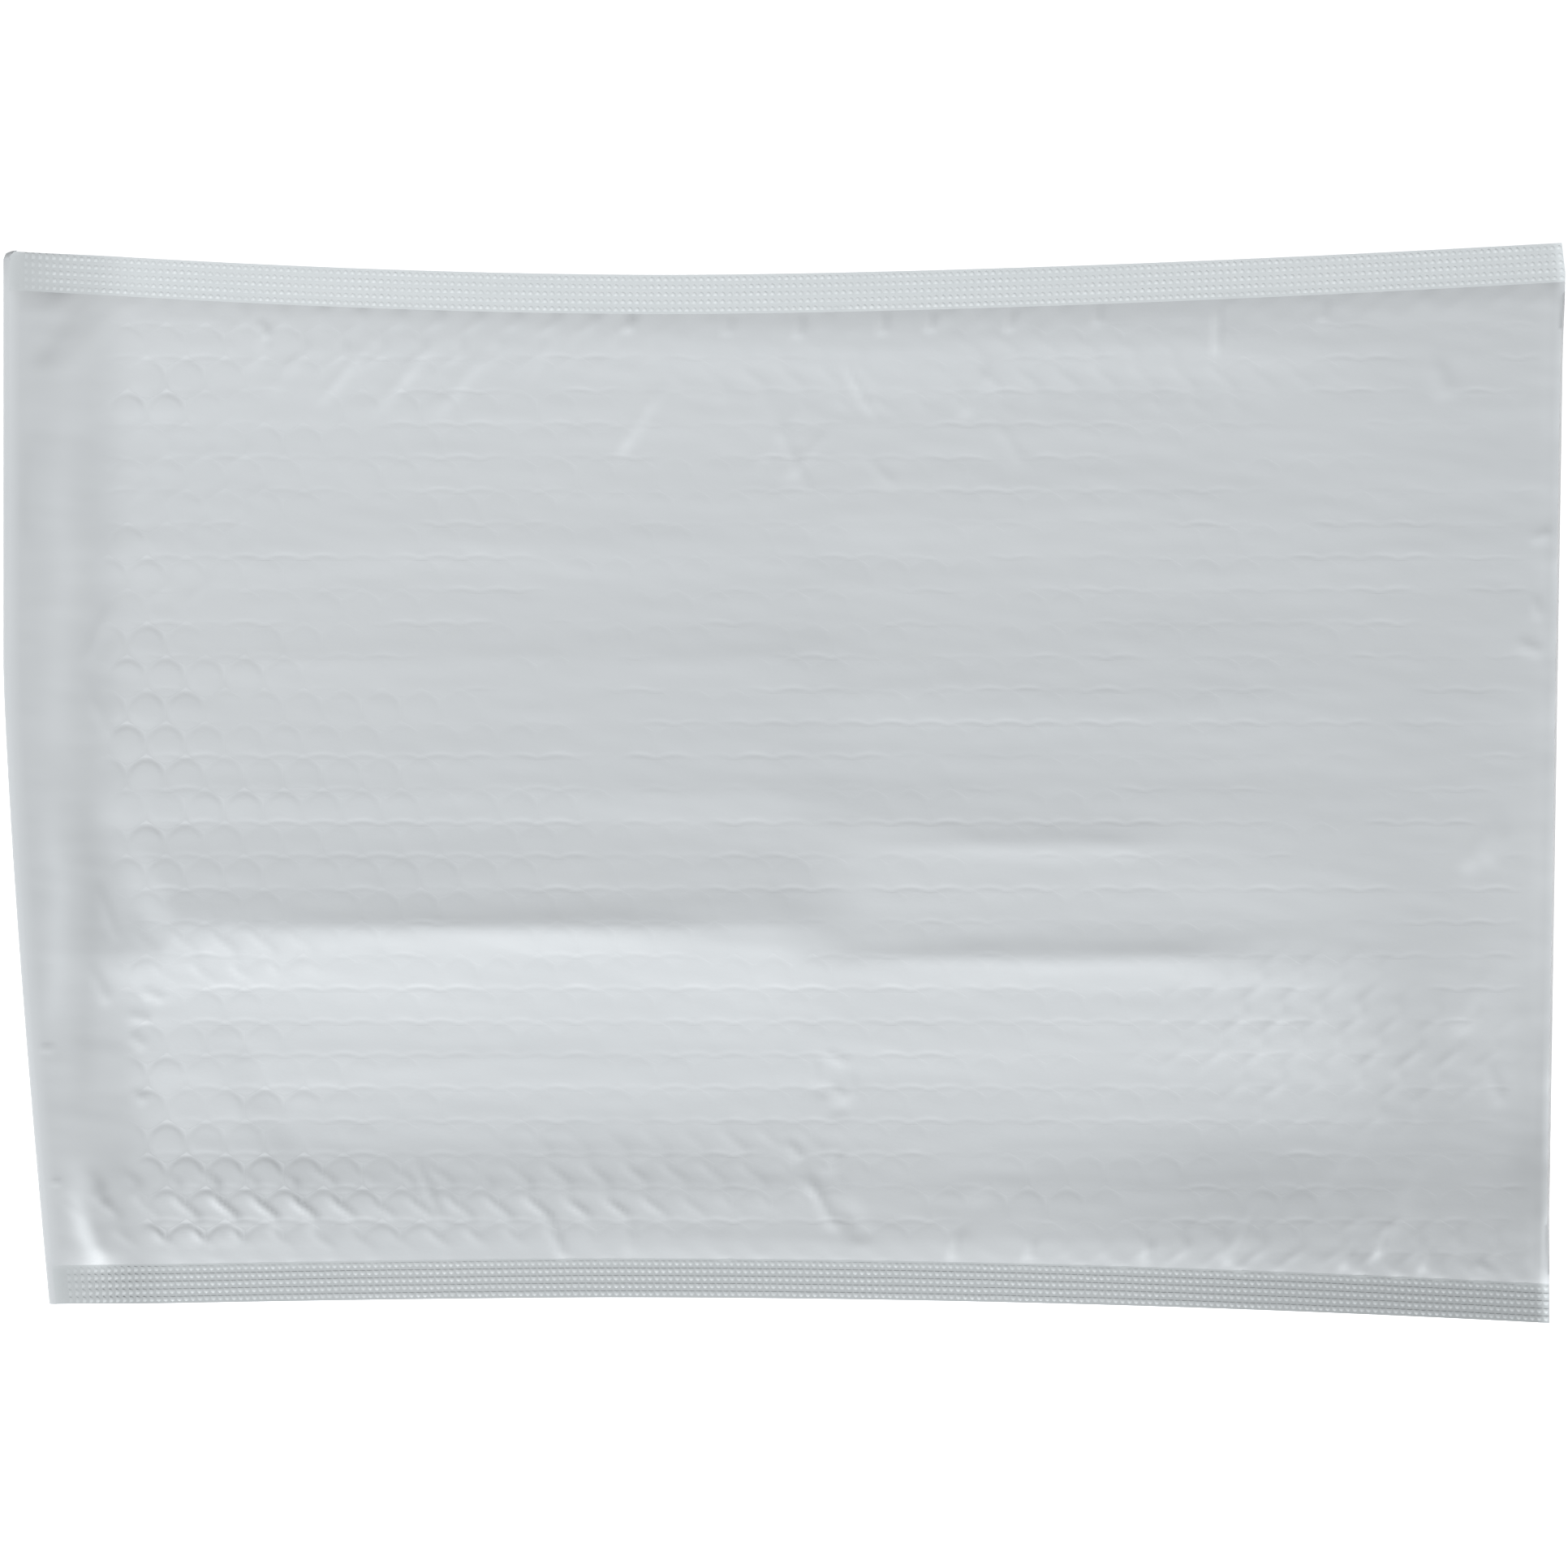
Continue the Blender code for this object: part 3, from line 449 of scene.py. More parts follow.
@dataclass(frozen=True)
class FilmShape:
    """Heights of the outer film: its front over the lining, its seals and its back."""

    outline: Outline = Outline()
    lattice: BubbleLattice = BubbleLattice()
    film: float = 0.0003
    padding: float = 0.0080
    fold_waver: float = 0.0004
    fold_step_x: float = -0.1860
    fold_step_run: float = 0.0140
    seal_drop: tuple[float, float] = (0.0011, 0.0009)
    seal_curl: tuple[float, float] = (0.0020, 0.0016)
    nose_drop: float = 0.0030
    nose_run: float = 0.0006
    shoulder: float = 0.0070
    rim_height: tuple[float, float] = (0.0002, 0.0004)
    rim_inset: float = 0.0035
    rim_width: float = 0.0024
    back_shoulder: float = 0.0240
    lip_run: float = 0.0040
    flap_length: float = 0.0400
    flap_step_run: float = 0.0120
    flap_stack: float = 0.0016
    bare_band: float = 0.0280
    band_rise: float = 0.0080
    cross_fold_x: float = 0.0100
    cross_fold_run: float = 0.0320
    gather: float = 0.40
    crest_height: float = 0.0006
    crest_inset: float = 0.0160
    crest_width: float = 0.0070
    groove_depth: float = 0.00025
    groove_width: float = 0.0050
    edge_waver: float = 0.0007
    side_run: float = 0.1
    tightness: tuple[float, float] = (0.5, 1.6)
    shoulder_ease: tuple[float, float] = (0.85, 0.3)
    pleat_uneven: float = 0.6
    pleat_limit: float = 1.7
    step_slant: float = 0.5
    step_y: float = -0.047
    step_row: float = 9.4
    step_rows: float = 0.9
    step_reach: float = 2.0
    step_fade: float = 0.3
    bottom_fade: float = 0.75
    bottom_calm: Step = Step(0.13, 0.06)
    row_shifts: tuple[float, ...] = (-0.1, 0.0, 0.1)
    broad_uneven: float = 0.00005
    fine_uneven: float = 0.00002
    rim_side_run: float = 0.2
    rim_side_start: float = 0.2
    rim_uneven: float = 0.25

    def flap_lift(self, x: Array, y: Array) -> Array:
        """Height that the back film keeps over the folded flap."""
        past = x - self.outline.fold_x(y) - self.flap_length
        return self.flap_stack * (1 - smooth(past / self.flap_step_run))

    def seal_depth(self, x: Array, y: Array) -> Array:
        """Distance in from the nearest seal's inner edge, negative on the seal."""
        far = self.outline.depth(LongSide.FAR, x, y)
        near = self.outline.depth(LongSide.NEAR, x, y)
        return np.minimum(far, near) - self.outline.seal_width

    def closing(self, x: Array, y: Array) -> Array:
        """Height at which the front and the back film meet."""
        depth = self.seal_depth(x, y)
        far = smooth(y / self.side_run + 0.5)
        rise = smooth((x - self.outline.fold_x(y)) / self.bare_band)
        curl = blend(self.seal_curl[1], self.seal_curl[0], far)
        curl = curl * rise * np.clip(-depth / self.outline.seal_width, 0.0, 1.0)
        drop = blend(self.seal_drop[1], self.seal_drop[0], far)
        at_bottom = 1 - smooth((self.outline.bottom_x(y) - x) / self.back_shoulder)
        drop = drop + self.nose_drop * smooth(depth / self.back_shoulder) * at_bottom
        return np.maximum(self.base(x, y) - drop + curl, self.flap_lift(x, y))

    def base(self, x: Array, y: Array) -> Array:
        """Height of the front without its relief: level over the lining, falling to the flap fold."""
        past_fold = x - self.outline.fold_x(y) - self.outline.fold_height / 2
        rise = smooth(past_fold / (self.bare_band + self.band_rise))
        return blend(self.outline.fold_height, self.padding, rise)

    def fullness(self, x: Array, y: Array, shoulder: float, gather: float = 0.0) -> Array:
        """Share of the padding's height that is reached, with gathers along the seals.

        Args:
            x, y: places in metres.
            shoulder: width of the rise from each seal.
            gather: how much each gather widens or narrows the rise.

        Returns:
            0 at the seals and the bottom fold, 1 over the lining.
        """
        inner = self.outline.seal_width
        rise = 1.0
        ease, ease_by_tightness = self.shoulder_ease
        for side, pleats, tight in zip(LongSide, PLEAT_WAVES, self.tightness):
            varied = tight * pleats.about_one(x, y, self.pleat_uneven)
            pleat = np.cos(math.tau * self.lattice.slant(x, y, -side.value)) * varied
            gathered = 1 + gather * np.clip(pleat, -self.pleat_limit, self.pleat_limit)
            width = shoulder * gathered / (ease + ease_by_tightness * tight)
            rise = rise * swell((self.outline.depth(side, x, y) - inner) / width)
        return rise * swell((self.outline.bottom_x(y) - x) / self.nose_run)

    def broad_folds(self, x: Array, y: Array) -> Array:
        """Height of the long folds that lie along the bubble rows.

        Args:
            x, y: places in metres.

        Returns:
            Height added to the front, from the half the place is in and from the other near the cross fold.
        """
        half = smooth((x - self.cross_fold_x) / self.cross_fold_run + 0.5)
        lift = 0.0
        row = self.lattice.row(y + self.fold_waver * ROW_WAVES.at(x, y))
        past_step = x - self.fold_step_x + self.step_slant * (y - self.step_y)
        flap_end = 1 - smooth(past_step / self.fold_step_run)
        row = row + self.step_rows * flap_end * bell((row - self.step_row) / self.step_reach)
        fade = (1 - self.bottom_fade * self.bottom_calm.at(x)) * (1 - self.step_fade * flap_end)
        for heights, share in ((FLAP_HALF, (1 - half) * fade), (BOTTOM_HALF, half * fade)):
            rows = np.arange(len(heights)) / 2
            spread = sum(np.interp(row + shift, rows, heights) for shift in self.row_shifts)
            lift = lift + spread / len(self.row_shifts) * share * MM
        return lift

    def wrinkles(self, x: Array, y: Array) -> Array:
        """Height of the creases, the slanting troughs and the general unevenness."""
        lift = self.broad_uneven * BROAD_WAVES.at(x, y) + self.fine_uneven * FINE_WAVES.at(x, y)
        for crease in CREASES:
            lift = lift + crease.lift(x, y)
        for patch in PATCHES:
            lift = lift + patch.lift(x, y, self.lattice)
        return lift

    def band(self, x: Array, y: Array) -> Array:
        """Crest of the bare band beside the flap fold, and the groove between it and the lining's edge."""
        past_fold = x - self.outline.fold_x(y)
        crest = self.crest_height * bell((past_fold - self.crest_inset) / self.crest_width)
        edge = past_fold - self.bare_band + self.edge_waver * EDGE_WAVES.at(x, y)
        return crest - self.groove_depth * bell(edge / self.groove_width)

    def rim(self, x: Array, y: Array) -> Array:
        """Raised rim along the bottom fold, higher towards the near seal."""
        low, high = self.rim_height
        height = blend(low, high, smooth(-y / self.rim_side_run + self.rim_side_start))
        height = height * RIM_WAVES.about_one(x, y, self.rim_uneven)
        return height * bell((self.outline.bottom_x(y) - x - self.rim_inset) / self.rim_width)

    def front(self, x: Array, y: Array) -> Array:
        """Height of the front film's outer face."""
        past_fold = x - self.outline.fold_x(y) - self.outline.fold_height / 2
        rise = smooth(past_fold / (self.bare_band + self.band_rise))
        relief = self.broad_folds(x, y) * rise + self.wrinkles(x, y) * smooth(past_fold / self.lip_run)
        crown = self.base(x, y) + relief + self.band(x, y) + self.rim(x, y)
        closed = self.closing(x, y) + self.film
        gather = self.gather * smooth(past_fold / self.bare_band)
        height = blend(closed, crown - self.film, self.fullness(x, y, self.shoulder, gather))
        edge = smooth(past_fold / self.lip_run)
        return blend(self.outline.fold_height - self.film, height, edge) + self.film

    def back(self, x: Array, y: Array) -> Array:
        """Height of the back film's outer face."""
        lift = self.closing(x, y) * (1 - self.fullness(x, y, self.back_shoulder))
        return np.maximum(lift, self.flap_lift(x, y))


class Shell:
    """Vertices and faces of one closed piece, gathered part by part."""

    def __init__(self) -> None:
        """Start with no faces."""
        self.vertices: list[Array] = []
        self.faces: list[tuple[int, ...]] = []
        self.count = 0

    def add_vertices(self, points: Array) -> Array:
        """Add points and return their numbers in the same layout."""
        flat = points.reshape(-1, 3)
        numbers = np.arange(self.count, self.count + len(flat)).reshape(points.shape[:-1])
        self.vertices.append(flat)
        self.count += len(flat)
        return numbers

    def add_grid(self, numbers: Array) -> None:
        """Join a grid of vertex numbers by quads."""
        corners = (numbers[:-1, :-1], numbers[1:, :-1], numbers[1:, 1:], numbers[:-1, 1:])
        quads = np.stack([corner.ravel() for corner in corners], axis=1)
        self.faces.extend(map(tuple, quads.tolist()))

    def add_strip(self, first: Array, second: Array) -> None:
        """Join two lines of vertex numbers by quads."""
        self.add_grid(np.stack([first, second], axis=1))

    def close_sides(self, top: Array, bottom: Array) -> None:
        """Join the four sides of an upper and a lower grid."""
        for line in (np.s_[:, 0], np.s_[:, -1], np.s_[0], np.s_[-1]):
            self.add_strip(top[line], bottom[line])

    def add_sheet(self, rim: Array, rim_points: Array, inside: Array) -> None:
        """Fill a rim of vertices with triangles through points inside it.

        Args:
            rim: vertex numbers round the sheet, in order.
            rim_points: the points of those vertices.
            inside: points inside the rim.
        """
        numbers = np.concatenate([rim, self.add_vertices(inside)])
        places = [Vector(point[:2]) for point in np.concatenate([rim_points, inside])]
        edges = [(index, (index + 1) % len(rim)) for index in range(len(rim))]
        result = delaunay_2d_cdt(places, edges, [], 1, JOIN_DISTANCE)
        for triangle in result[2]:
            self.faces.append(tuple(int(numbers[result[3][corner][0]]) for corner in triangle))

    def finish(self, name: str, material: Material) -> Piece:
        """Weld the parts, point the faces outward and make the piece an object.

        Args:
            name: name of the piece.
            material: its material.

        Returns:
            The piece, linked to the scene.
        """
        mesh = bpy.data.meshes.new(name)
        mesh.from_pydata(np.concatenate(self.vertices).tolist(), [], self.faces)
        weld = bmesh.new()
        weld.from_mesh(mesh)
        bmesh.ops.remove_doubles(weld, verts=weld.verts, dist=WELD_DISTANCE)
        bmesh.ops.recalc_face_normals(weld, faces=weld.faces)
        weld.to_mesh(mesh)
        weld.free()
        mesh.shade_smooth()
        mesh.set_sharp_from_angle(angle=math.radians(SHARP_ANGLE_DEG))
        mesh.materials.append(material)
        piece = bpy.data.objects.new(name, mesh)
        bpy.context.scene.collection.objects.link(piece)
        return piece


def report(piece: Piece) -> None:
    """Log a piece's name and triangle count."""
    triangles = sum(len(face.vertices) - 2 for face in piece.data.polygons)
    LOG.info("%s: %d triangles", piece.name, triangles)


def rim_of(grid: Array) -> Array:
    """Values round the rim of a grid, in order."""
    return np.concatenate([grid[:, 0], grid[-1, 1:], grid[-2::-1, -1], grid[0, -2:0:-1]])


def arc(radius: float, middle: float, angles: Array) -> list[tuple[float, float, float]]:
    """Points of a fold's profile: offset, height and share of the flap, which is 0 there."""
    return [(radius * math.cos(angle), middle + radius * math.sin(angle), 0.0) for angle in angles]


def lifted(x: Array, y: Array, z: Array) -> Array:
    """Stack coordinates into points."""
    return np.stack([x, y, np.broadcast_to(z, x.shape)], axis=-1)


@dataclass
class FilmBody:
    """Front and back film between the seals, with the flap fold and the flap."""

    shape: FilmShape
    stations: int = 366
    across: int = 246
    fold_segments: int = 10
    fold_stations: int = 60
    flap_taper: float = 0.0035
    faint_grooves: float = 0.50
    bare_tone: float = -0.12
    # Painted shade in the corner by the bottom fold, on the near side
    corner_painted_shade: float = -0.17
    # Painted highlight on the seals' raised dots
    dot_painted_highlight: float = 0.20
    seal_tone: float = -0.04
    # Painted light on the rounded flap fold
    fold_painted_light: float = 0.14
    # Painted glow along the bottom fold where light passes through the film, stronger towards the near side
    painted_edge_glow: tuple[float, float] = (0.15, 0.50)
    painted_glow_width: float = 0.0040
    painted_glow_uneven: float = 0.25
    most_tone: float = 1.42
    tone_waver: float = 0.0010
    band_change: Step = Step(-0.003, 0.016)
    fold_change: Step = Step(0.001, 0.005)
    corner_along: Step = Step(0.06, 0.14)
    corner_across: Step = Step(0.085, 0.03)
    painted_glow_change: Step = Step(0.06, 0.05)
    past_seal: Step = Step(0.004, 0.006)
    past_bottom: Step = Step(0.004, 0.010)
    front_from: float = 0.004
    flap_side: Step = Step(-0.15, 0.12)
    near_side: Step = Step(0.100, 0.02)
    bottom_side: Step = Step(0.12, 0.08)
    raised_height: float = 0.0002
    bubble_mean: float = 0.55
    bubble_spread: float = 0.35
    bubble_limit: float = 1.4
    bubble_at_flap: float = 1.3
    bubble_flap_fall: float = 0.7
    bubble_at_seal: float = 1.2
    bubble_at_band: float = 1.4
    bubble_band_middle: float = 0.012
    bubble_band_width: float = 0.03
    bubble_bottom_fall: float = 0.7
    groove_mean: float = 0.5
    groove_limit: float = 1.6
    break_amount: float = 0.35
    break_limits: tuple[float, float] = (0.2, 1.5)
    fold_shares: tuple[float, ...] = (0.01, 0.03, 0.06)
    step_stations: int = 7
    back_along: tuple[float, float, int] = (0.13, 0.96, 70)
    back_across: tuple[float, float, int] = (0.06, 0.94, 44)
    crowding_along: float = 0.05
    crowding_across: float = 0.10
    edge_shares: tuple[float, ...] = (0.15, 0.3, 0.5, 0.75, 1.0)
    flap_shares: tuple[float, ...] = (0.25, 0.5, 0.75, 1.0)
    flap_near_y: float = -0.15
    corner_step: float = 0.0007

    def build(self, material: Material) -> Piece:
        """Closed body between the seals."""
        shell = Shell()
        x, y = self.shape.outline.panel_grid(
            crowded(self.stations, self.crowding_along), crowded(self.across, self.crowding_across)
        )
        top = shell.add_vertices(lifted(x, y, self.shape.front(x, y)))
        shell.add_grid(top)
        rim_x, rim_y, upper = (rim_of(grid) for grid in (x, y, top))
        rim_points = lifted(rim_x, rim_y, self.shape.back(rim_x, rim_y))
        lower = shell.add_vertices(rim_points)
        shell.add_strip(np.append(upper, upper[0]), np.append(lower, lower[0]))
        shell.add_sheet(lower, rim_points, self.back_points())
        self.add_flap(shell)
        return shell.finish("film_body", material)

    def back_points(self) -> Array:
        """Points inside the back film, closer on its shoulders and its step past the flap.

        Returns:
            A row of x, y, z for each point.
        """
        outline = self.shape.outline
        shoulder = np.array(self.edge_shares) * self.shape.back_shoulder / outline.length
        step = np.linspace(0, 1, self.step_stations) * self.shape.flap_step_run + self.shape.flap_length
        step = step / outline.length
        along = np.concatenate([self.fold_shares, step, np.linspace(*self.back_along), 1 - shoulder])
        width = outline.far.at_waist + outline.near.at_waist
        edge = np.array(self.edge_shares) * self.shape.back_shoulder / width
        across = np.concatenate([edge, np.linspace(*self.back_across), 1 - edge])
        x, y = outline.panel_grid(np.unique(along), np.unique(across))
        return lifted(x, y, self.shape.back(x, y)).reshape(-1, 3)

    def add_flap(self, shell: Shell) -> None:
        """Flap fold and the flap under the back film, as one closed strip.

        Args:
            shell: the film's shell, which gets the strip.
        """
        outline = self.shape.outline
        low = -outline.near.reach(np.array([outline.fold_x(np.array(self.flap_near_y))]), outline.length)[0]
        high = outline.far.reach(np.array([-outline.length / 2]), outline.length)[0]
        straight = np.linspace(low, high - outline.corner_radius, self.fold_stations)
        y = np.concatenate([straight, [high - self.corner_step, high]])
        x = outline.fold_x(y) + outline.fold_height / 2
        radius = outline.fold_height / 2
        angles = math.pi / 2 + math.pi * np.arange(self.fold_segments + 1) / self.fold_segments
        run, inner = self.shape.flap_length - radius, radius - self.shape.film
        profile = arc(radius, radius, angles)
        profile += [(run * share, 0.0, share) for share in self.flap_shares]
        profile += [(run * share, self.shape.film, share) for share in self.flap_shares[::-1]]
        profile += arc(inner, radius, angles[::-1])
        rings = []
        for offset, height, share in profile:
            side_shift = self.flap_taper * share * y / outline.far.at_flap
            rings.append(lifted(x + offset, y - side_shift, np.full_like(y, height)))
        rings.append(rings[0])
        numbers = shell.add_vertices(np.stack(rings))
        shell.add_grid(numbers)
        for end in (0, -1):
            shell.faces.append(tuple(int(number) for number in numbers[:-1, end]))

    def tone(self, x: Array, y: Array) -> Array:
        """How light the film is painted, painted light and shade included.

        Args:
            x, y: places in metres.

        Returns:
            1 over the lining, less over the bare band, with painted light and shade along the folds, painted
            light at the flap fold, painted shade by the bottom fold's near corner and a painted glow where
            light passes the bottom fold.
        """
        shape = self.shape
        past_fold = x - shape.outline.fold_x(y)
        edge = past_fold - shape.bare_band + self.tone_waver * EDGE_WAVES.at(x, y)
        tone = 1 + self.bare_tone * (1 - self.band_change.at(edge))
        wavering = x + self.tone_waver * TONE_WAVES.at(x, y)
        # Painted light and shade along the folds
        for shade in PAINTED_LIGHT_AND_SHADE:
            tone = tone + shade.lift(wavering, y) / MM
        # Painted light on the rounded flap fold
        tone = tone + self.fold_painted_light * (1 - self.fold_change.at(past_fold))
        # Painted shade in the corner by the bottom fold, on the near side
        tone = tone + self.corner_painted_shade * self.corner_along.at(x) * self.corner_across.at(-y)
        # Painted glow where light passes through the film at the bottom fold
        painted_glow = blend(*self.painted_edge_glow, self.painted_glow_change.at(-y))
        painted_glow = painted_glow * RIM_WAVES.about_one(x, y, self.painted_glow_uneven)
        painted_glow = painted_glow * smooth((self.painted_glow_width + x - shape.outline.bottom_x(y)) / self.painted_glow_width)
        return np.minimum(tone + painted_glow, self.most_tone)

    def over_lining(self, x: Array, y: Array, z: Array) -> Array:
        """Share of the lining's pattern that can show.

        Args:
            x, y, z: places on the film in metres.

        Returns:
            0 on the bare band, seals, edges and back, up to 1 over the lining.
        """
        shape = self.shape
        past_band = x - shape.outline.fold_x(y) - shape.bare_band
        over = smooth(past_band / shape.band_rise) * self.past_seal.at(shape.seal_depth(x, y))
        return over * self.past_bottom.at(shape.outline.bottom_x(y) - x) * (z > self.front_from)

    def bubble_strength(self, x: Array, y: Array) -> Array:
        """How strongly the bubbles show over the lining.

        Args:
            x, y: places in metres.

        Returns:
            Strength at each place, most beside the band and the near seal.
        """
        past_band = x - self.shape.outline.fold_x(y) - self.shape.bare_band
        varied = self.bubble_mean + self.bubble_spread * BUBBLE_WAVES.at(x, y)
        flap_side = self.bubble_at_flap - self.bubble_flap_fall * self.flap_side.at(x)
        near_seal = 1 + self.bubble_at_seal * self.near_side.at(-y)
        from_middle = (past_band - self.bubble_band_middle) / self.bubble_band_width
        beside_band = 1 + self.bubble_at_band * bell(from_middle)
        calm = 1 - self.bubble_bottom_fall * self.bottom_side.at(x)
        return np.clip(varied, 0.0, self.bubble_limit) * flap_side * near_seal * beside_band * calm

    def groove_strength(self, x: Array, y: Array) -> Array:
        """How strongly the grooves between the bubble rows show over the lining.

        Args:
            x, y: places in metres.

        Returns:
            Strength at each place, most on the listed row lines.
        """
        patchy = np.clip(self.groove_mean + GROOVE_WAVES.at(x, y), 0.0, self.groove_limit)
        grooves = self.faint_grooves * patchy
        for line in ROW_LINES:
            grooves = np.maximum(grooves, line.strength_at(x, y, self.shape.lattice))
        return grooves

    def dress(self, piece: Piece) -> None:
        """Store at each place how light the film is painted, painted light and shade included, and how
        strongly bubbles and grooves show.

        Args:
            piece: a piece of the film, which gets the three attributes.
        """
        mesh = piece.data
        places = np.zeros(len(mesh.vertices) * 3)
        mesh.vertices.foreach_get("co", places)
        x, y, z = places.reshape(-1, 3).T
        shape = self.shape
        over = self.over_lining(x, y, z)
        broken = np.clip(BREAK_WAVES.about_one(x, y, self.break_amount), *self.break_limits)
        raised = np.clip((z - shape.front(x, y)) / self.raised_height, 0.0, 1.0)
        on_seal = shape.seal_depth(x, y) < 0
        shown = {
            "bubble_show": self.bubble_strength(x, y) * over,
            "groove_show": self.groove_strength(x, y) * over * broken,
            # Seals a little darker all over, with a painted highlight on their raised dots
            "tone": self.tone(x, y) + (self.seal_tone + self.dot_painted_highlight * raised) * on_seal,
        }
        for name, values in shown.items():
            attribute = mesh.attributes.new(name, "FLOAT", "POINT")
            attribute.data.foreach_set("value", values.astype(np.float32))


@dataclass
class CrimpedSeal:
    """One crimped side seal: a thin band with rows of raised dots on both faces."""

    shape: FilmShape
    side: LongSide
    dot_pitch: float = 0.0021
    dot_rows: int = 5
    dot_radius: float = 0.00080
    dot_height: float = 0.00025
    dot_sink: float = 0.00003
    dots_from_fold: Step = Step(0.002, 0.016)
    dot_uneven: float = 0.16
    least_dot: float = 0.05
    most_dot: float = 1.3
    joined: Step = Step(0.004, 0.003)
    overlap: float = 0.0004
    stations: int = 366
    bands: int = 8

    @property
    def name(self) -> str:
        """Name of the piece."""
        return f"{self.side.name.lower()}_seal"

    def heights(self, x: Array, y: Array) -> tuple[Array, Array]:
        """Heights of the band's upper and lower face."""
        top = self.shape.front(x, y)
        past_fold = x - self.shape.outline.fold_x(y)
        bottom = blend(top - self.shape.film, self.shape.closing(x, y), self.joined.at(past_fold))
        return top, np.minimum(bottom, top - self.shape.film)

    def band(self, material: Material) -> Piece:
        """The plain band without its dots."""
        shell = Shell()
        along = np.linspace(0.0, 1.0, self.stations + 1)
        depths = np.linspace(0.0, self.shape.outline.seal_width + self.overlap, self.bands + 1)
        x, y = self.shape.outline.seal_grid(self.side, along, depths)
        upper, lower = self.heights(x, y)
        top = shell.add_vertices(lifted(x, y, upper))
        bottom = shell.add_vertices(lifted(x, y, lower))
        shell.add_grid(top)
        shell.add_grid(bottom)
        shell.close_sides(top, bottom)
        return shell.finish(self.name, material)

    def dot_places(self) -> tuple[Array, Array]:
        """Places of the dots on both faces, and how far each stands out of its face."""
        outline = self.shape.outline
        count = int(outline.length / self.dot_pitch)
        along = (np.arange(count) + 0.5) / count
        row_pitch = outline.seal_width / self.dot_rows
        depths = (np.arange(self.dot_rows) + 0.5) * row_pitch
        x, y = outline.seal_grid(self.side, along, depths)
        upper, lower = self.heights(x, y)
        strength = self.dots_from_fold.at(x - outline.fold_x(y))
        strength = np.clip(strength * DOT_WAVES.about_one(x, y, self.dot_uneven), 0.0, self.most_dot).ravel()
        keep = strength > self.least_dot
        points = np.concatenate([lifted(x, y, z).reshape(-1, 3)[keep] for z in (upper, lower)])
        lift = np.concatenate([strength[keep], -strength[keep]])
        return points, lift

    def build(self, material: Material) -> Piece:
        """The band with its dots, as one mesh."""
        band = self.band(material)
        points, lift = self.dot_places()
        tree = dot_tree(f"{self.name}_tree", band, material)
        sizes = {"Radius": self.dot_radius, "Height": self.dot_height, "Sink": self.dot_sink}
        return scattered(band, points, lift, tree, sizes)


class NodeMaker:
    """Short calls that add nodes and links to one node tree."""

    nodes: bpy.types.Nodes
    links: bpy.types.NodeLinks

    def node(self, kind: str, inputs: dict | None = None, **options: object) -> bpy.types.Node:
        """Add a node, set its options, and link or set its inputs.

        Args:
            kind: type name of the node.
            inputs: sockets to link and values to set, by the name or number of the input.
            options: properties of the node and their values.

        Returns:
            The node.
        """
        made = self.nodes.new(kind)
        for key, value in options.items():
            setattr(made, key, value)
        for key, value in (inputs or {}).items():
            if isinstance(value, Socket):
                self.links.new(value, made.inputs[key])
            else:
                made.inputs[key].default_value = value
        return made

    def math(self, operation: str, *values: object) -> Socket:
        """Add a math node and return its result."""
        return self.node("ShaderNodeMath", dict(enumerate(values)), operation=operation).outputs[0]


class NodeTree(NodeMaker):
    """A geometry node tree."""

    def __init__(self, name: str) -> None:
        """Make an empty tree with a geometry input and output."""
        self.tree = bpy.data.node_groups.new(name, "GeometryNodeTree")
        self.tree.interface.new_socket("Geometry", in_out="INPUT", socket_type="NodeSocketGeometry")
        self.tree.interface.new_socket("Geometry", in_out="OUTPUT", socket_type="NodeSocketGeometry")
        self.nodes, self.links = self.tree.nodes, self.tree.links
        self.start = self.nodes.new("NodeGroupInput")
        self.end = self.nodes.new("NodeGroupOutput")

    def size(self, name: str, value: float) -> Socket:
        """Add a named size to the tree's inputs."""
        socket = self.tree.interface.new_socket(name, in_out="INPUT", socket_type="NodeSocketFloat")
        socket.default_value = value
        return self.start.outputs[name]

    def close(self, geometry: Socket, material: Material) -> bpy.types.NodeTree:
        """Realize what is repeated, set its material and end the tree."""
        real = self.node("GeometryNodeRealizeInstances", {"Geometry": geometry})
        dressed = self.node("GeometryNodeSetMaterial", {"Geometry": real.outputs[0], "Material": material})
        self.links.new(dressed.outputs[0], self.end.inputs[0])
        return self.tree


def grown(base: Piece, tree: bpy.types.NodeTree, sizes: dict, name: str) -> Piece:
    """Run a node tree on a base and return its result as a plain mesh object.

    Args:
        base: object that holds the points or the sheet, removed afterwards.
        tree: the geometry node tree.
        sizes: values for the tree's named inputs.
        name: name of the finished piece.

    Returns:
        The finished piece.
    """
    modifier = base.modifiers.new("growth", "NODES")
    modifier.node_group = tree
    for item in tree.interface.items_tree:
        if item.in_out == "INPUT" and item.name in sizes:
            modifier[item.identifier] = sizes[item.name]
    depsgraph = bpy.context.evaluated_depsgraph_get()
    mesh = bpy.data.meshes.new_from_object(base.evaluated_get(depsgraph), depsgraph=depsgraph)
    bpy.data.objects.remove(base)
    mesh.name = name
    piece = bpy.data.objects.new(name, mesh)
    bpy.context.scene.collection.objects.link(piece)
    piece.name = name
    return piece


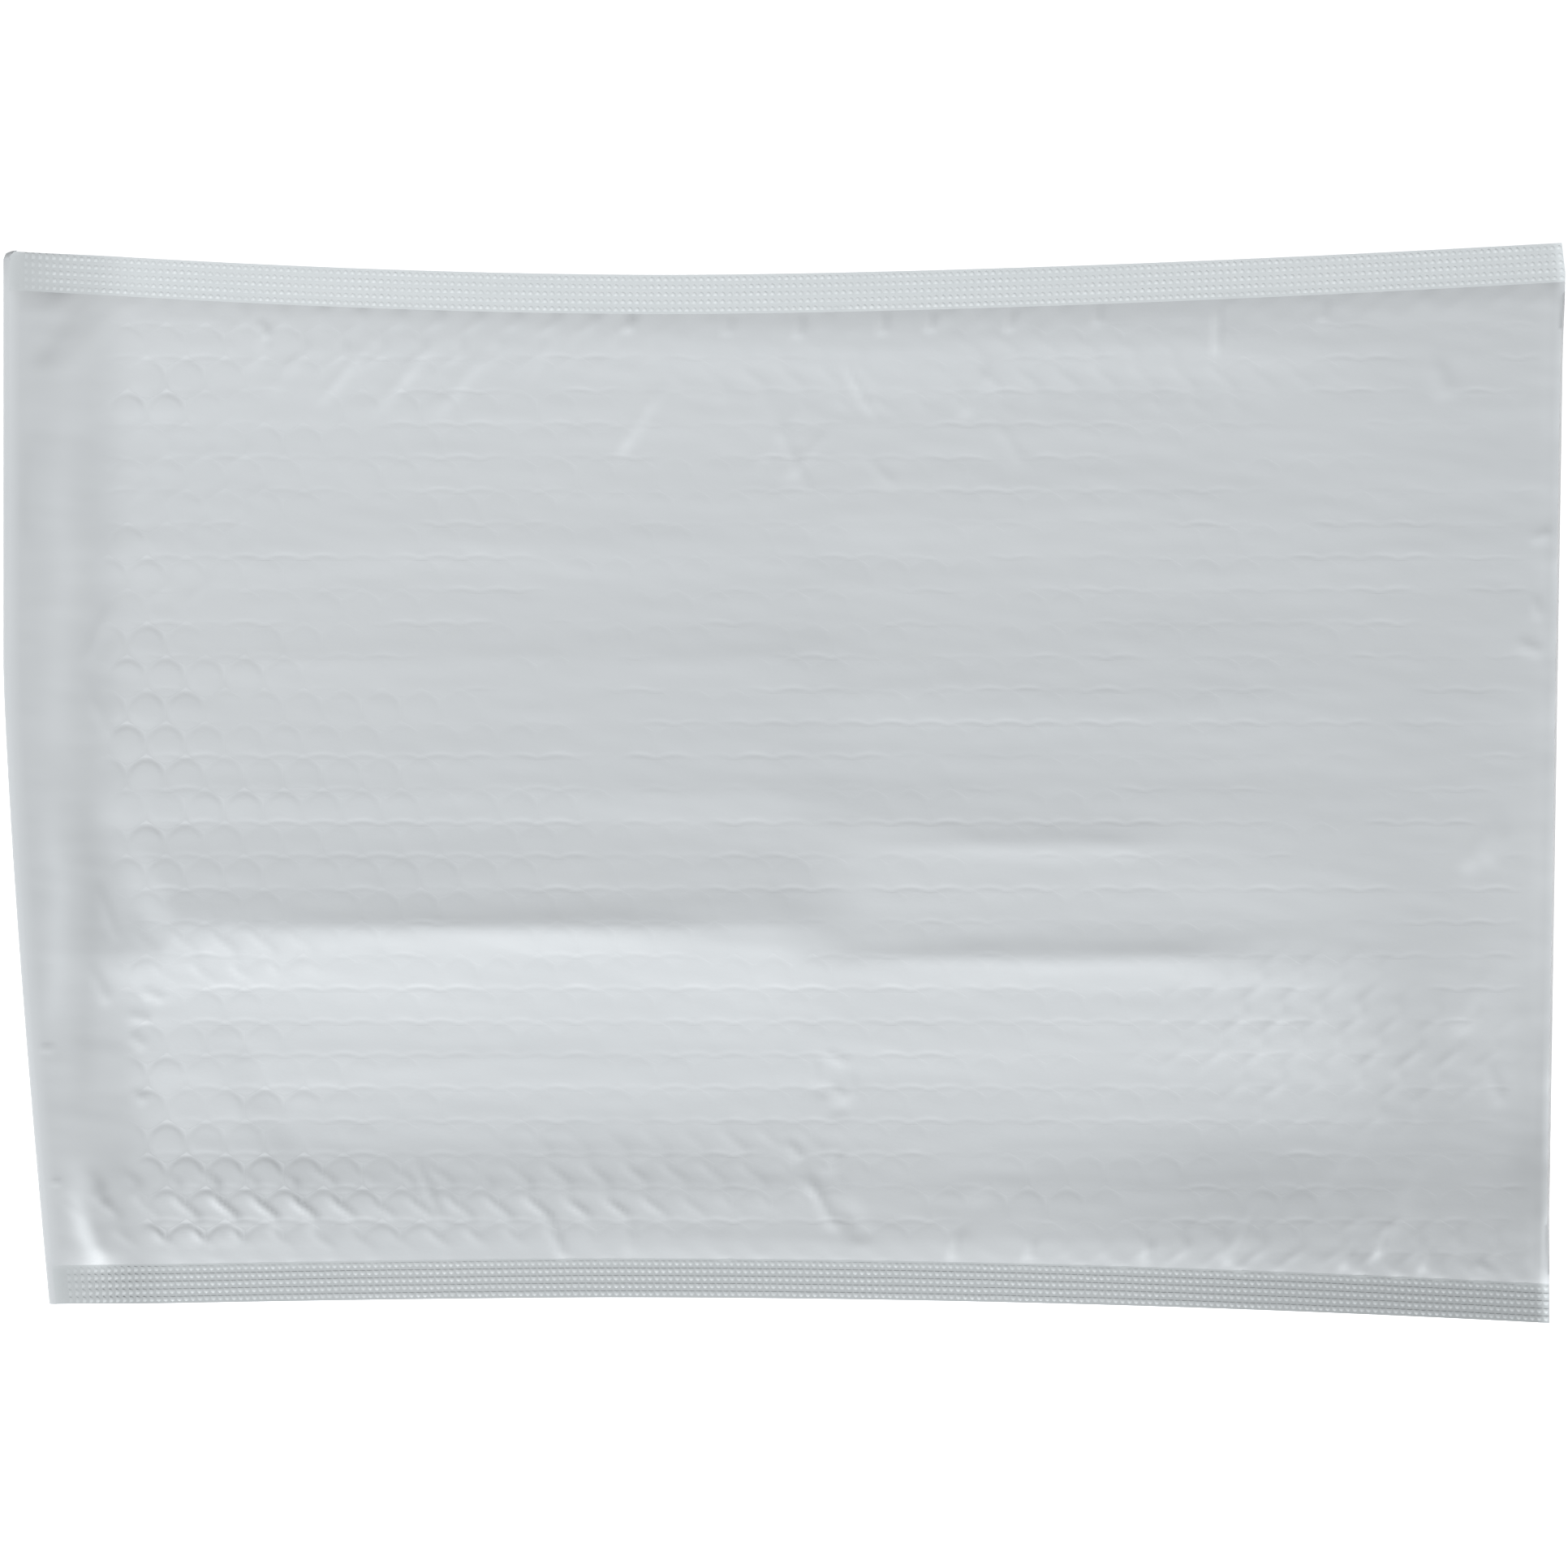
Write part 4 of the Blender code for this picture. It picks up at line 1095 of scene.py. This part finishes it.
class ScatterTree(NodeTree):
    """Joins a body with a shape that is repeated on each of the base's points."""

    def lifted_scale(self) -> tuple[Socket, Socket]:
        """Rotation and scale from the points' lift: its size along Z, turned over where it is negative."""
        named = self.node("GeometryNodeInputNamedAttribute", {"Name": "lift"}, data_type="FLOAT")
        lift = named.outputs["Attribute"]
        turn = self.math("MULTIPLY", self.math("SUBTRACT", 1.0, self.math("SIGN", lift)), math.pi / 2)
        rotation = self.node("ShaderNodeCombineXYZ", {"X": turn}).outputs[0]
        size = self.math("ABSOLUTE", lift)
        scale = self.node("ShaderNodeCombineXYZ", {"X": 1.0, "Y": 1.0, "Z": size}).outputs[0]
        return rotation, scale

    def spread(self, body: Piece, shape: Socket, material: Material) -> bpy.types.NodeTree:
        """Repeat the shape on the points, join it with the body and end the tree.

        Args:
            body: object that the shapes are joined with.
            shape: the shape to repeat.
            material: material of the result.

        Returns:
            The finished tree.
        """
        rotation, scale = self.lifted_scale()
        shaded = self.node("GeometryNodeSetShadeSmooth", {"Geometry": shape})
        inputs = {
            "Points": self.start.outputs["Geometry"],
            "Instance": shaded.outputs[0],
            "Rotation": rotation,
            "Scale": scale,
        }
        repeated = self.node("GeometryNodeInstanceOnPoints", inputs)
        solid = self.node("GeometryNodeObjectInfo", {"Object": body})
        joined = self.node("GeometryNodeJoinGeometry")
        self.links.new(repeated.outputs[0], joined.inputs[0])
        self.links.new(solid.outputs["Geometry"], joined.inputs[0])
        return self.close(joined.outputs[0], material)


def scattered(body: Piece, points: Array, lift: Array, tree: bpy.types.NodeTree, sizes: dict) -> Piece:
    """Body joined with what the tree repeats on the points, as one plain mesh under the body's name.

    Args:
        body: the body, removed afterwards.
        points: places of the repeated shapes.
        lift: size of each shape along Z, negative where it is turned over.
        tree: the node tree.
        sizes: values for the tree's named inputs.

    Returns:
        The finished piece.
    """
    name = body.name
    cloud = bpy.data.meshes.new(f"{name}_points")
    cloud.from_pydata(points.tolist(), [], [])
    attribute = cloud.attributes.new("lift", "FLOAT", "POINT")
    attribute.data.foreach_set("value", lift.astype(np.float32))
    base = bpy.data.objects.new(cloud.name, cloud)
    bpy.context.scene.collection.objects.link(base)
    piece = grown(base, tree, sizes, name)
    bpy.data.objects.remove(body)
    piece.name = name
    return piece


def dot_tree(name: str, body: Piece, material: Material, steps: int = 5) -> bpy.types.NodeTree:
    """Tree that puts a small soft dot on each point of a seal.

    Args:
        name: name of the tree.
        body: the seal without its dots.
        material: material of the result.
        steps: points along each side of a dot's grid.

    Returns:
        The finished tree.
    """
    tree = ScatterTree(name)
    radius = tree.size("Radius", 0.001)
    height = tree.size("Height", 0.0002)
    sink = tree.size("Sink", 0.00003)
    width = tree.math("MULTIPLY", radius, 2.0)
    inputs = {"Size X": width, "Size Y": width, "Vertices X": steps, "Vertices Y": steps}
    grid = tree.node("GeometryNodeMeshGrid", inputs)
    place = tree.node("GeometryNodeInputPosition")
    length = tree.node("ShaderNodeVectorMath", {0: place.outputs[0]}, operation="LENGTH")
    share = tree.math("DIVIDE", length.outputs["Value"], radius)
    fall = tree.math("MAXIMUM", tree.math("SUBTRACT", 1.0, tree.math("MULTIPLY", share, share)), 0.0)
    rise = tree.math("SUBTRACT", tree.math("MULTIPLY", tree.math("MULTIPLY", fall, fall), height), sink)
    offset = tree.node("ShaderNodeCombineXYZ", {"Z": rise})
    inputs = {"Geometry": grid.outputs["Mesh"], "Offset": offset.outputs[0]}
    dot = tree.node("GeometryNodeSetPosition", inputs)
    return tree.spread(body, dot.outputs[0], material)


def bubble_tree(name: str, body: Piece, material: Material) -> bpy.types.NodeTree:
    """Tree that puts a round bubble on each point of the lining."""
    tree = ScatterTree(name)
    radius = tree.size("Radius", 0.005)
    height = tree.size("Height", 0.002)
    ball = tree.node("GeometryNodeMeshUVSphere", {"Segments": 10, "Rings": 6, "Radius": radius})
    flat = tree.math("DIVIDE", height, radius)
    scale = tree.node("ShaderNodeCombineXYZ", {"X": 1.0, "Y": 1.0, "Z": flat})
    bubble = tree.node("GeometryNodeTransform", {"Geometry": ball.outputs["Mesh"], "Scale": scale.outputs[0]})
    return tree.spread(body, bubble.outputs[0], material)


@dataclass
class BubbleLining:
    """The lining inside the film: a cushion with a bubble on each place of the lattice."""

    shape: FilmShape
    side_gap: float = 0.0080
    end_gap: float = 0.0060
    floor_gap: float = 0.0006
    top_gap: float = 0.0030
    bubble_radius: float = 0.0047
    bubble_height: float = 0.0019
    stations: int = 120
    across: int = 90
    name: str = "lining_cushion"

    def heights(self, x: Array, y: Array) -> tuple[Array, Array]:
        """Heights of the cushion's top and underside."""
        return self.shape.front(x, y) - self.top_gap, self.shape.back(x, y) + self.shape.film + self.floor_gap

    def cushion(self, material: Material) -> Piece:
        """The cushion without its bubbles."""
        outline = self.shape.outline
        start = self.shape.bare_band / outline.length
        end = 1 - self.end_gap / outline.length
        width = outline.far.at_waist + outline.near.at_waist - 2 * outline.seal_width
        edge = self.side_gap / width
        along = np.linspace(start, end, self.stations + 1)
        x, y = outline.panel_grid(along, np.linspace(edge, 1 - edge, self.across + 1))
        upper, lower = self.heights(x, y)
        shell = Shell()
        top = shell.add_vertices(lifted(x, y, upper))
        bottom = shell.add_vertices(lifted(x, y, np.minimum(lower, upper - self.floor_gap)))
        shell.add_grid(top)
        shell.add_grid(bottom)
        shell.close_sides(top, bottom)
        return shell.finish(self.name, material)

    def build(self, material: Material) -> Piece:
        """The cushion with its bubbles, as one mesh."""
        shape, lattice = self.shape, self.shape.lattice
        rows = np.arange(lattice.rows)
        columns = np.arange(int(shape.outline.length / lattice.pitch))
        row, column = np.meshgrid(rows, columns, indexing="ij")
        x = lattice.first_x + (column + row % 2 / 2) * lattice.pitch
        y = lattice.first_row_y + row * lattice.row_pitch
        margin = self.side_gap + self.bubble_radius
        inside = shape.seal_depth(x, y) > margin
        inside &= shape.outline.bottom_x(y) - x > self.end_gap + self.bubble_radius
        inside &= x - shape.outline.fold_x(y) > shape.bare_band + 2 * self.bubble_radius
        x, y = x[inside], y[inside]
        points = lifted(x, y, self.heights(x, y)[0])
        body = self.cushion(material)
        tree = bubble_tree(f"{self.name}_tree", body, material)
        sizes = {"Radius": self.bubble_radius, "Height": self.bubble_height}
        return scattered(body, points, np.ones(len(x)), tree, sizes)


class Surface(NodeMaker):
    """A Principled material."""

    def __init__(self, name: str) -> None:
        """Make the material with its shader."""
        self.material = bpy.data.materials.new(name)
        self.material.use_nodes = True
        self.nodes = self.material.node_tree.nodes
        self.links = self.material.node_tree.links
        self.shader = self.nodes["Principled BSDF"]
        self.place = self.nodes.new("ShaderNodeTexCoord").outputs["Object"]

    def stretched(self, x: float, y: float, z: float) -> Socket:
        """Object coordinates scaled along each axis."""
        return self.node("ShaderNodeMapping", {"Vector": self.place, "Scale": (x, y, z)}).outputs[0]

    def noise(self, vector: Socket, scale: float, detail: float) -> Socket:
        """Noise from 0 to 1."""
        inputs = {"Vector": vector, "Scale": scale, "Detail": detail}
        return self.node("ShaderNodeTexNoise", inputs).outputs["Fac"]

    def vector(self, operation: str, *values: object) -> Socket:
        """Add a vector math node and return its vector."""
        return self.node("ShaderNodeVectorMath", dict(enumerate(values)), operation=operation).outputs[0]

    def square(self, value: Socket) -> Socket:
        """The value times itself."""
        return self.math("MULTIPLY", value, value)

    def bell(self, value: Socket) -> Socket:
        """Soft bump, 1 at 0 and near 0 from 2 on."""
        return self.math("EXPONENT", self.math("MULTIPLY", self.square(value), -1.0))

    def counted(self, value: Socket, start: float, step: float) -> Socket:
        """How many steps the value lies past the start."""
        return self.math("DIVIDE", self.math("SUBTRACT", value, start), step)

    def gloss(self, roughness: float, specular: float | None = None) -> None:
        """Set the roughness, and the specular level where one is given."""
        self.shader.inputs["Roughness"].default_value = roughness
        if specular is not None:
            self.shader.inputs["Specular IOR Level"].default_value = specular

    def grain(self, scale: float, detail: float, height: float) -> Socket:
        """Height of a fine even grain."""
        return self.math("MULTIPLY", self.noise(self.place, scale, detail), height)

    def ramp(self, value: Socket, low: tuple, high: tuple) -> Socket:
        """Colour that goes from low to high as the value goes from 0 to 1."""
        mix = self.node("ShaderNodeMix", data_type="RGBA")
        self.links.new(value, mix.inputs["Factor"])
        mix.inputs["A"].default_value = (*low, 1.0)
        mix.inputs["B"].default_value = (*high, 1.0)
        return mix.outputs["Result"]

    def colour(self, value: Socket) -> None:
        """Link the base colour."""
        self.links.new(value, self.shader.inputs["Base Color"])

    def toned(self, value: Socket) -> None:
        """Link the base colour, made lighter or darker by the piece's tone attribute, which carries painted
        light and shade.
        """
        tone = self.node("ShaderNodeAttribute", attribute_name="tone").outputs["Fac"]
        scaled = self.node("ShaderNodeVectorMath", {0: value, "Scale": tone}, operation="SCALE")
        self.colour(scaled.outputs[0])

    def relief(self, height: Socket) -> None:
        """Link a height in metres as the surface's relief."""
        bump = self.node("ShaderNodeBump", {"Height": height, "Strength": 1.0, "Distance": 1.0})
        self.links.new(bump.outputs["Normal"], self.shader.inputs["Normal"])


@dataclass(frozen=True)
class SatinFilm:
    """White satin film, with the bubbles' rims and the grooves between their rows pressed through it."""

    lattice: BubbleLattice
    name: str = "satin_film"
    low: tuple = (0.600, 0.632, 0.656)
    high: tuple = (0.650, 0.678, 0.698)
    roughness: float = 0.36
    specular: float = 0.55
    bubble_height: float = 0.00004
    rim_radius: float = 0.0052
    rim_width: float = 0.0011
    rim_depth: float = 0.00004
    groove_depth: float = 0.00006
    grain_height: float = 0.000012
    crinkle_height: float = 0.00005
    scallop: float = 0.09
    line_middle: float = 0.06
    line_sharpness: float = 12.0
    faintest_dash: float = 0.35
    cloud_scale: tuple[float, float, float] = (6.0, 16.0, 16.0)
    crinkle_scale: tuple[float, float, float] = (60.0, 110.0, 110.0)
    grain_scale: float = 900.0

    def nearest(self, surface: Surface, shift: tuple[float, float]) -> tuple[Socket, Socket]:
        """Nearest bubble middle in every second row.

        Args:
            surface: the material.
            shift: where the rows start, in bubble pitches and row pitches.

        Returns:
            Distance from that middle, and how far up from it the place lies.
        """
        lattice = self.lattice
        pitch, rows = lattice.pitch, 2 * lattice.row_pitch
        start = (lattice.first_x + shift[0] * pitch, lattice.first_row_y + shift[1] * lattice.row_pitch, 0.0)
        half = (0.5, 0.5, 0.0)
        cells = surface.vector("DIVIDE", surface.vector("SUBTRACT", surface.place, start), (pitch, rows, 1.0))
        part = surface.vector("FRACTION", surface.vector("ADD", cells, half))
        size = surface.vector("MULTIPLY", surface.vector("SUBTRACT", part, half), (pitch, rows, 0.0))
        distance = surface.node("ShaderNodeVectorMath", {0: size}, operation="LENGTH").outputs["Value"]
        return distance, surface.node("ShaderNodeSeparateXYZ", {"Vector": size}).outputs["Y"]

    def bubbles(self, surface: Surface) -> Socket:
        """Height of the bubbles under the film."""
        even, even_up = self.nearest(surface, (0.0, 0.0))
        odd, odd_up = self.nearest(surface, (0.5, 1.0))
        distance = surface.math("MINIMUM", even, odd)
        nearer = surface.math("LESS_THAN", odd, even)
        up = surface.node("ShaderNodeMix", {"Factor": nearer, "A": even_up, "B": odd_up}).outputs["Result"]
        share = surface.math("DIVIDE", distance, self.lattice.radius)
        dome = surface.math("MAXIMUM", surface.math("SUBTRACT", 1.0, surface.square(share)), 0.0)
        ring = surface.bell(surface.counted(distance, self.rim_radius, self.rim_width))
        inputs = {"Value": up, "From Min": -self.rim_radius, "From Max": 0.7 * self.rim_radius}
        upper = surface.node("ShaderNodeMapRange", inputs).outputs["Result"]
        groove = surface.math("MULTIPLY", surface.math("MULTIPLY", ring, upper), self.rim_depth)
        return surface.math("SUBTRACT", surface.math("MULTIPLY", dome, self.bubble_height), groove)

    def grooves(self, surface: Surface) -> Socket:
        """Depth share of the scalloped grooves between two bubble rows."""
        split = surface.node("ShaderNodeSeparateXYZ", {"Vector": surface.place})
        row = surface.counted(split.outputs["Y"], self.lattice.first_row_y, self.lattice.row_pitch)
        column = surface.counted(split.outputs["X"], self.lattice.first_x, self.lattice.pitch)
        parity = surface.math("MULTIPLY", surface.math("FLOOR", surface.math("ADD", row, 0.5)), 0.5)
        turn = surface.math("MULTIPLY", surface.math("SUBTRACT", column, parity), math.pi)
        curve = surface.math("ABSOLUTE", surface.math("COSINE", turn))
        scallop = surface.math("MULTIPLY", curve, self.scallop)
        from_line = surface.math("SUBTRACT", surface.math("FRACT", surface.math("ADD", row, 0.5)), scallop)
        near = surface.math("SUBTRACT", from_line, self.line_middle)
        near = surface.math("MULTIPLY", near, self.line_sharpness)
        inputs = {"Value": scallop, "From Max": self.scallop, "To Min": self.faintest_dash, "To Max": 1.0}
        dashes = surface.node("ShaderNodeMapRange", inputs).outputs["Result"]
        return surface.math("MULTIPLY", surface.bell(near), dashes)

    def build(self) -> Material:
        """Make the material."""
        surface = Surface(self.name)
        cloudy = surface.noise(surface.stretched(*self.cloud_scale), 1.0, 3.0)
        surface.toned(surface.ramp(cloudy, self.low, self.high))
        surface.gloss(self.roughness, self.specular)
        bubble_show = surface.node("ShaderNodeAttribute", attribute_name="bubble_show").outputs["Fac"]
        groove_show = surface.node("ShaderNodeAttribute", attribute_name="groove_show").outputs["Fac"]
        domes = surface.math("MULTIPLY", self.bubbles(surface), bubble_show)
        lines = surface.math("MULTIPLY", self.grooves(surface), groove_show)
        lines = surface.math("MULTIPLY", lines, -self.groove_depth)
        crinkled = surface.noise(surface.stretched(*self.crinkle_scale), 1.0, 4.0)
        crinkle = surface.math("MULTIPLY", crinkled, self.crinkle_height)
        grain = surface.grain(self.grain_scale, 2.0, self.grain_height)
        pressed = surface.math("ADD", domes, lines)
        surface.relief(surface.math("ADD", pressed, surface.math("ADD", crinkle, grain)))
        return surface.material


@dataclass(frozen=True)
class CrimpedFilm:
    """The same film where both webs are welded: a little greyer and duller."""

    name: str = "crimped_film"
    low: tuple = (0.590, 0.632, 0.650)
    high: tuple = (0.645, 0.678, 0.694)
    roughness: float = 0.34
    specular: float = 0.55
    cloud_scale: tuple[float, float, float] = (12.0, 60.0, 60.0)
    grain_scale: float = 1100.0
    grain_height: float = 0.000015

    def build(self) -> Material:
        """Make the material."""
        surface = Surface(self.name)
        cloudy = surface.noise(surface.stretched(*self.cloud_scale), 1.0, 3.0)
        surface.toned(surface.ramp(cloudy, self.low, self.high))
        surface.gloss(self.roughness, self.specular)
        grain = surface.grain(self.grain_scale, 2.0, self.grain_height)
        surface.relief(grain)
        return surface.material


@dataclass(frozen=True)
class PlainFinish:
    """A finish of two close colours with a fine grain, for the pieces inside the flap and the lining."""

    name: str
    low: tuple
    high: tuple
    roughness: float
    grain_scale: float
    grain_height: float
    cloud_scale: tuple[float, float, float] = (80.0, 30.0, 80.0)

    def build(self) -> Material:
        """Make the material."""
        surface = Surface(self.name)
        cloudy = surface.noise(surface.stretched(*self.cloud_scale), 1.0, 3.0)
        surface.colour(surface.ramp(cloudy, self.low, self.high))
        surface.gloss(self.roughness)
        grain = surface.grain(self.grain_scale, 3.0, self.grain_height)
        surface.relief(grain)
        return surface.material


LINING_FINISH = PlainFinish("bubble_film", (0.62, 0.65, 0.66), (0.70, 0.73, 0.74), 0.24, 300.0, 0.00002)
ADHESIVE_FINISH = PlainFinish("adhesive", (0.56, 0.54, 0.45), (0.64, 0.62, 0.54), 0.42, 700.0, 0.00004)
LINER_FINISH = PlainFinish("liner_paper", (0.74, 0.74, 0.71), (0.80, 0.80, 0.78), 0.58, 1500.0, 0.00001)


@dataclass(frozen=True)
class Lamp:
    """Soft rectangular light aimed at the envelope, turned round from the near side towards the flap."""

    name: str
    size: tuple[float, float]
    power: float
    zenith_deg: float
    turn_deg: float
    distance: float

    def place(self) -> None:
        """Put the lamp into the scene."""
        lamp = bpy.data.lights.new(self.name, "AREA")
        lamp.shape = "RECTANGLE"
        lamp.size, lamp.size_y = self.size
        lamp.energy = self.power
        zenith, turn = math.radians(self.zenith_deg), math.radians(self.turn_deg)
        aside = -math.sin(zenith)
        away = Vector((aside * math.sin(turn), aside * math.cos(turn), math.cos(zenith)))
        holder = bpy.data.objects.new(self.name, lamp)
        holder.location = away * self.distance
        holder.rotation_euler = away.to_track_quat("Z", "Y").to_euler()
        bpy.context.scene.collection.objects.link(holder)


@dataclass
class Studio:
    """White table, soft light from the near side and a camera straight above."""

    floor_size: float = 6.0
    camera_height: float = 1.80
    frame_width: float = 0.4608
    focus_height: float = 0.0078
    camera_shift: tuple[float, float] = (0.0002, -0.0002)
    sensor_width: float = 36.0
    key: Lamp = Lamp("soft_key", (2.6, 1.8), 314.0, 60.0, 10.0, 5.0)
    fill: Lamp = Lamp("soft_fill", (0.5, 0.5), 1.25, 35.0, 150.0, 0.85)
    world_strength: float = 0.18
    floor_glow: float = 0.80
    floor_drop: float = 0.0002
    floor_grey: float = 0.95
    floor_roughness: float = 0.9

    def build(self) -> None:
        """Floor, light and camera."""
        self.build_floor()
        self.key.place()
        self.fill.place()
        self.build_world()
        self.build_camera()

    def build_floor(self) -> None:
        """White table that keeps the envelope's shadow."""
        half = self.floor_size / 2
        mesh = bpy.data.meshes.new("table")
        corners = [(-half, -half, 0), (half, -half, 0), (half, half, 0), (-half, half, 0)]
        mesh.from_pydata(corners, [], [(0, 1, 2, 3)])
        floor = bpy.data.objects.new("table", mesh)
        floor.location.z = -self.floor_drop
        bpy.context.scene.collection.objects.link(floor)
        surface = Surface("white_table")
        surface.shader.inputs["Base Color"].default_value = (*(self.floor_grey,) * 3, 1.0)
        surface.gloss(self.floor_roughness)
        seen = surface.node("ShaderNodeLightPath")
        either = surface.math("MAXIMUM", seen.outputs["Is Camera Ray"], seen.outputs["Is Glossy Ray"])
        strength = surface.math("MULTIPLY", either, self.floor_glow)
        glow = surface.node("ShaderNodeEmission", {"Strength": strength})
        both = surface.node("ShaderNodeAddShader")
        surface.links.new(surface.shader.outputs[0], both.inputs[0])
        surface.links.new(glow.outputs[0], both.inputs[1])
        surface.links.new(both.outputs[0], surface.nodes["Material Output"].inputs["Surface"])
        mesh.materials.append(surface.material)

    def build_world(self) -> None:
        """Even white surroundings."""
        world = bpy.data.worlds.new("white_room")
        world.use_nodes = True
        nodes = world.node_tree.nodes
        background = nodes["Background"]
        background.inputs["Color"].default_value = (1.0, 1.0, 1.0, 1.0)
        seen = nodes.new("ShaderNodeLightPath")
        either = nodes.new("ShaderNodeMath")
        either.operation = "MAXIMUM"
        world.node_tree.links.new(seen.outputs["Is Camera Ray"], either.inputs[0])
        world.node_tree.links.new(seen.outputs["Is Glossy Ray"], either.inputs[1])
        strength = nodes.new("ShaderNodeMapRange")
        strength.inputs["To Min"].default_value = self.world_strength
        strength.inputs["To Max"].default_value = 1.0
        world.node_tree.links.new(either.outputs[0], strength.inputs["Value"])
        world.node_tree.links.new(strength.outputs["Result"], background.inputs["Strength"])
        bpy.context.scene.world = world

    def build_camera(self) -> None:
        """Long lens straight above, framed as wide as the envelope."""
        camera = bpy.data.cameras.new("camera")
        camera.sensor_width = self.sensor_width
        distance = self.camera_height - self.focus_height
        camera.lens = camera.sensor_width * distance / self.frame_width
        holder = bpy.data.objects.new("camera", camera)
        holder.location = (*self.camera_shift, self.camera_height)
        bpy.context.scene.collection.objects.link(holder)
        bpy.context.scene.camera = holder


def dress_node(frame: dict, node: str, material: Material) -> None:
    """Give a CAD node its finish."""
    mesh = frame["nodes"][node].data
    mesh.materials.clear()
    mesh.materials.append(material)
    LOG.info("%s: dressed", node)


def main(frame: dict) -> None:
    """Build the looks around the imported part.
    """
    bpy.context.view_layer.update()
    bpy.context.scene.view_settings.view_transform = "Standard"
    shape = FilmShape()
    film = SatinFilm(shape.lattice).build()
    crimp = CrimpedFilm().build()

    body = FilmBody(shape)
    pieces = [body.build(film)] + [CrimpedSeal(shape, side).build(crimp) for side in LongSide]
    for piece in pieces:
        body.dress(piece)
        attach(piece, "root")
        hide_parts("outer_film")
        report(piece)

    lining = BubbleLining(shape).build(LINING_FINISH.build())
    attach(lining, "root")
    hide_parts("bubble_lining")
    report(lining)

    for node, finish in (("adhesive_strip", ADHESIVE_FINISH), ("release_liner", LINER_FINISH)):
        dress_node(frame, node, finish.build())

    Studio().build()


if __name__ == "__main__":
    logging.basicConfig(level=logging.INFO)
    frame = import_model()
    main(frame)
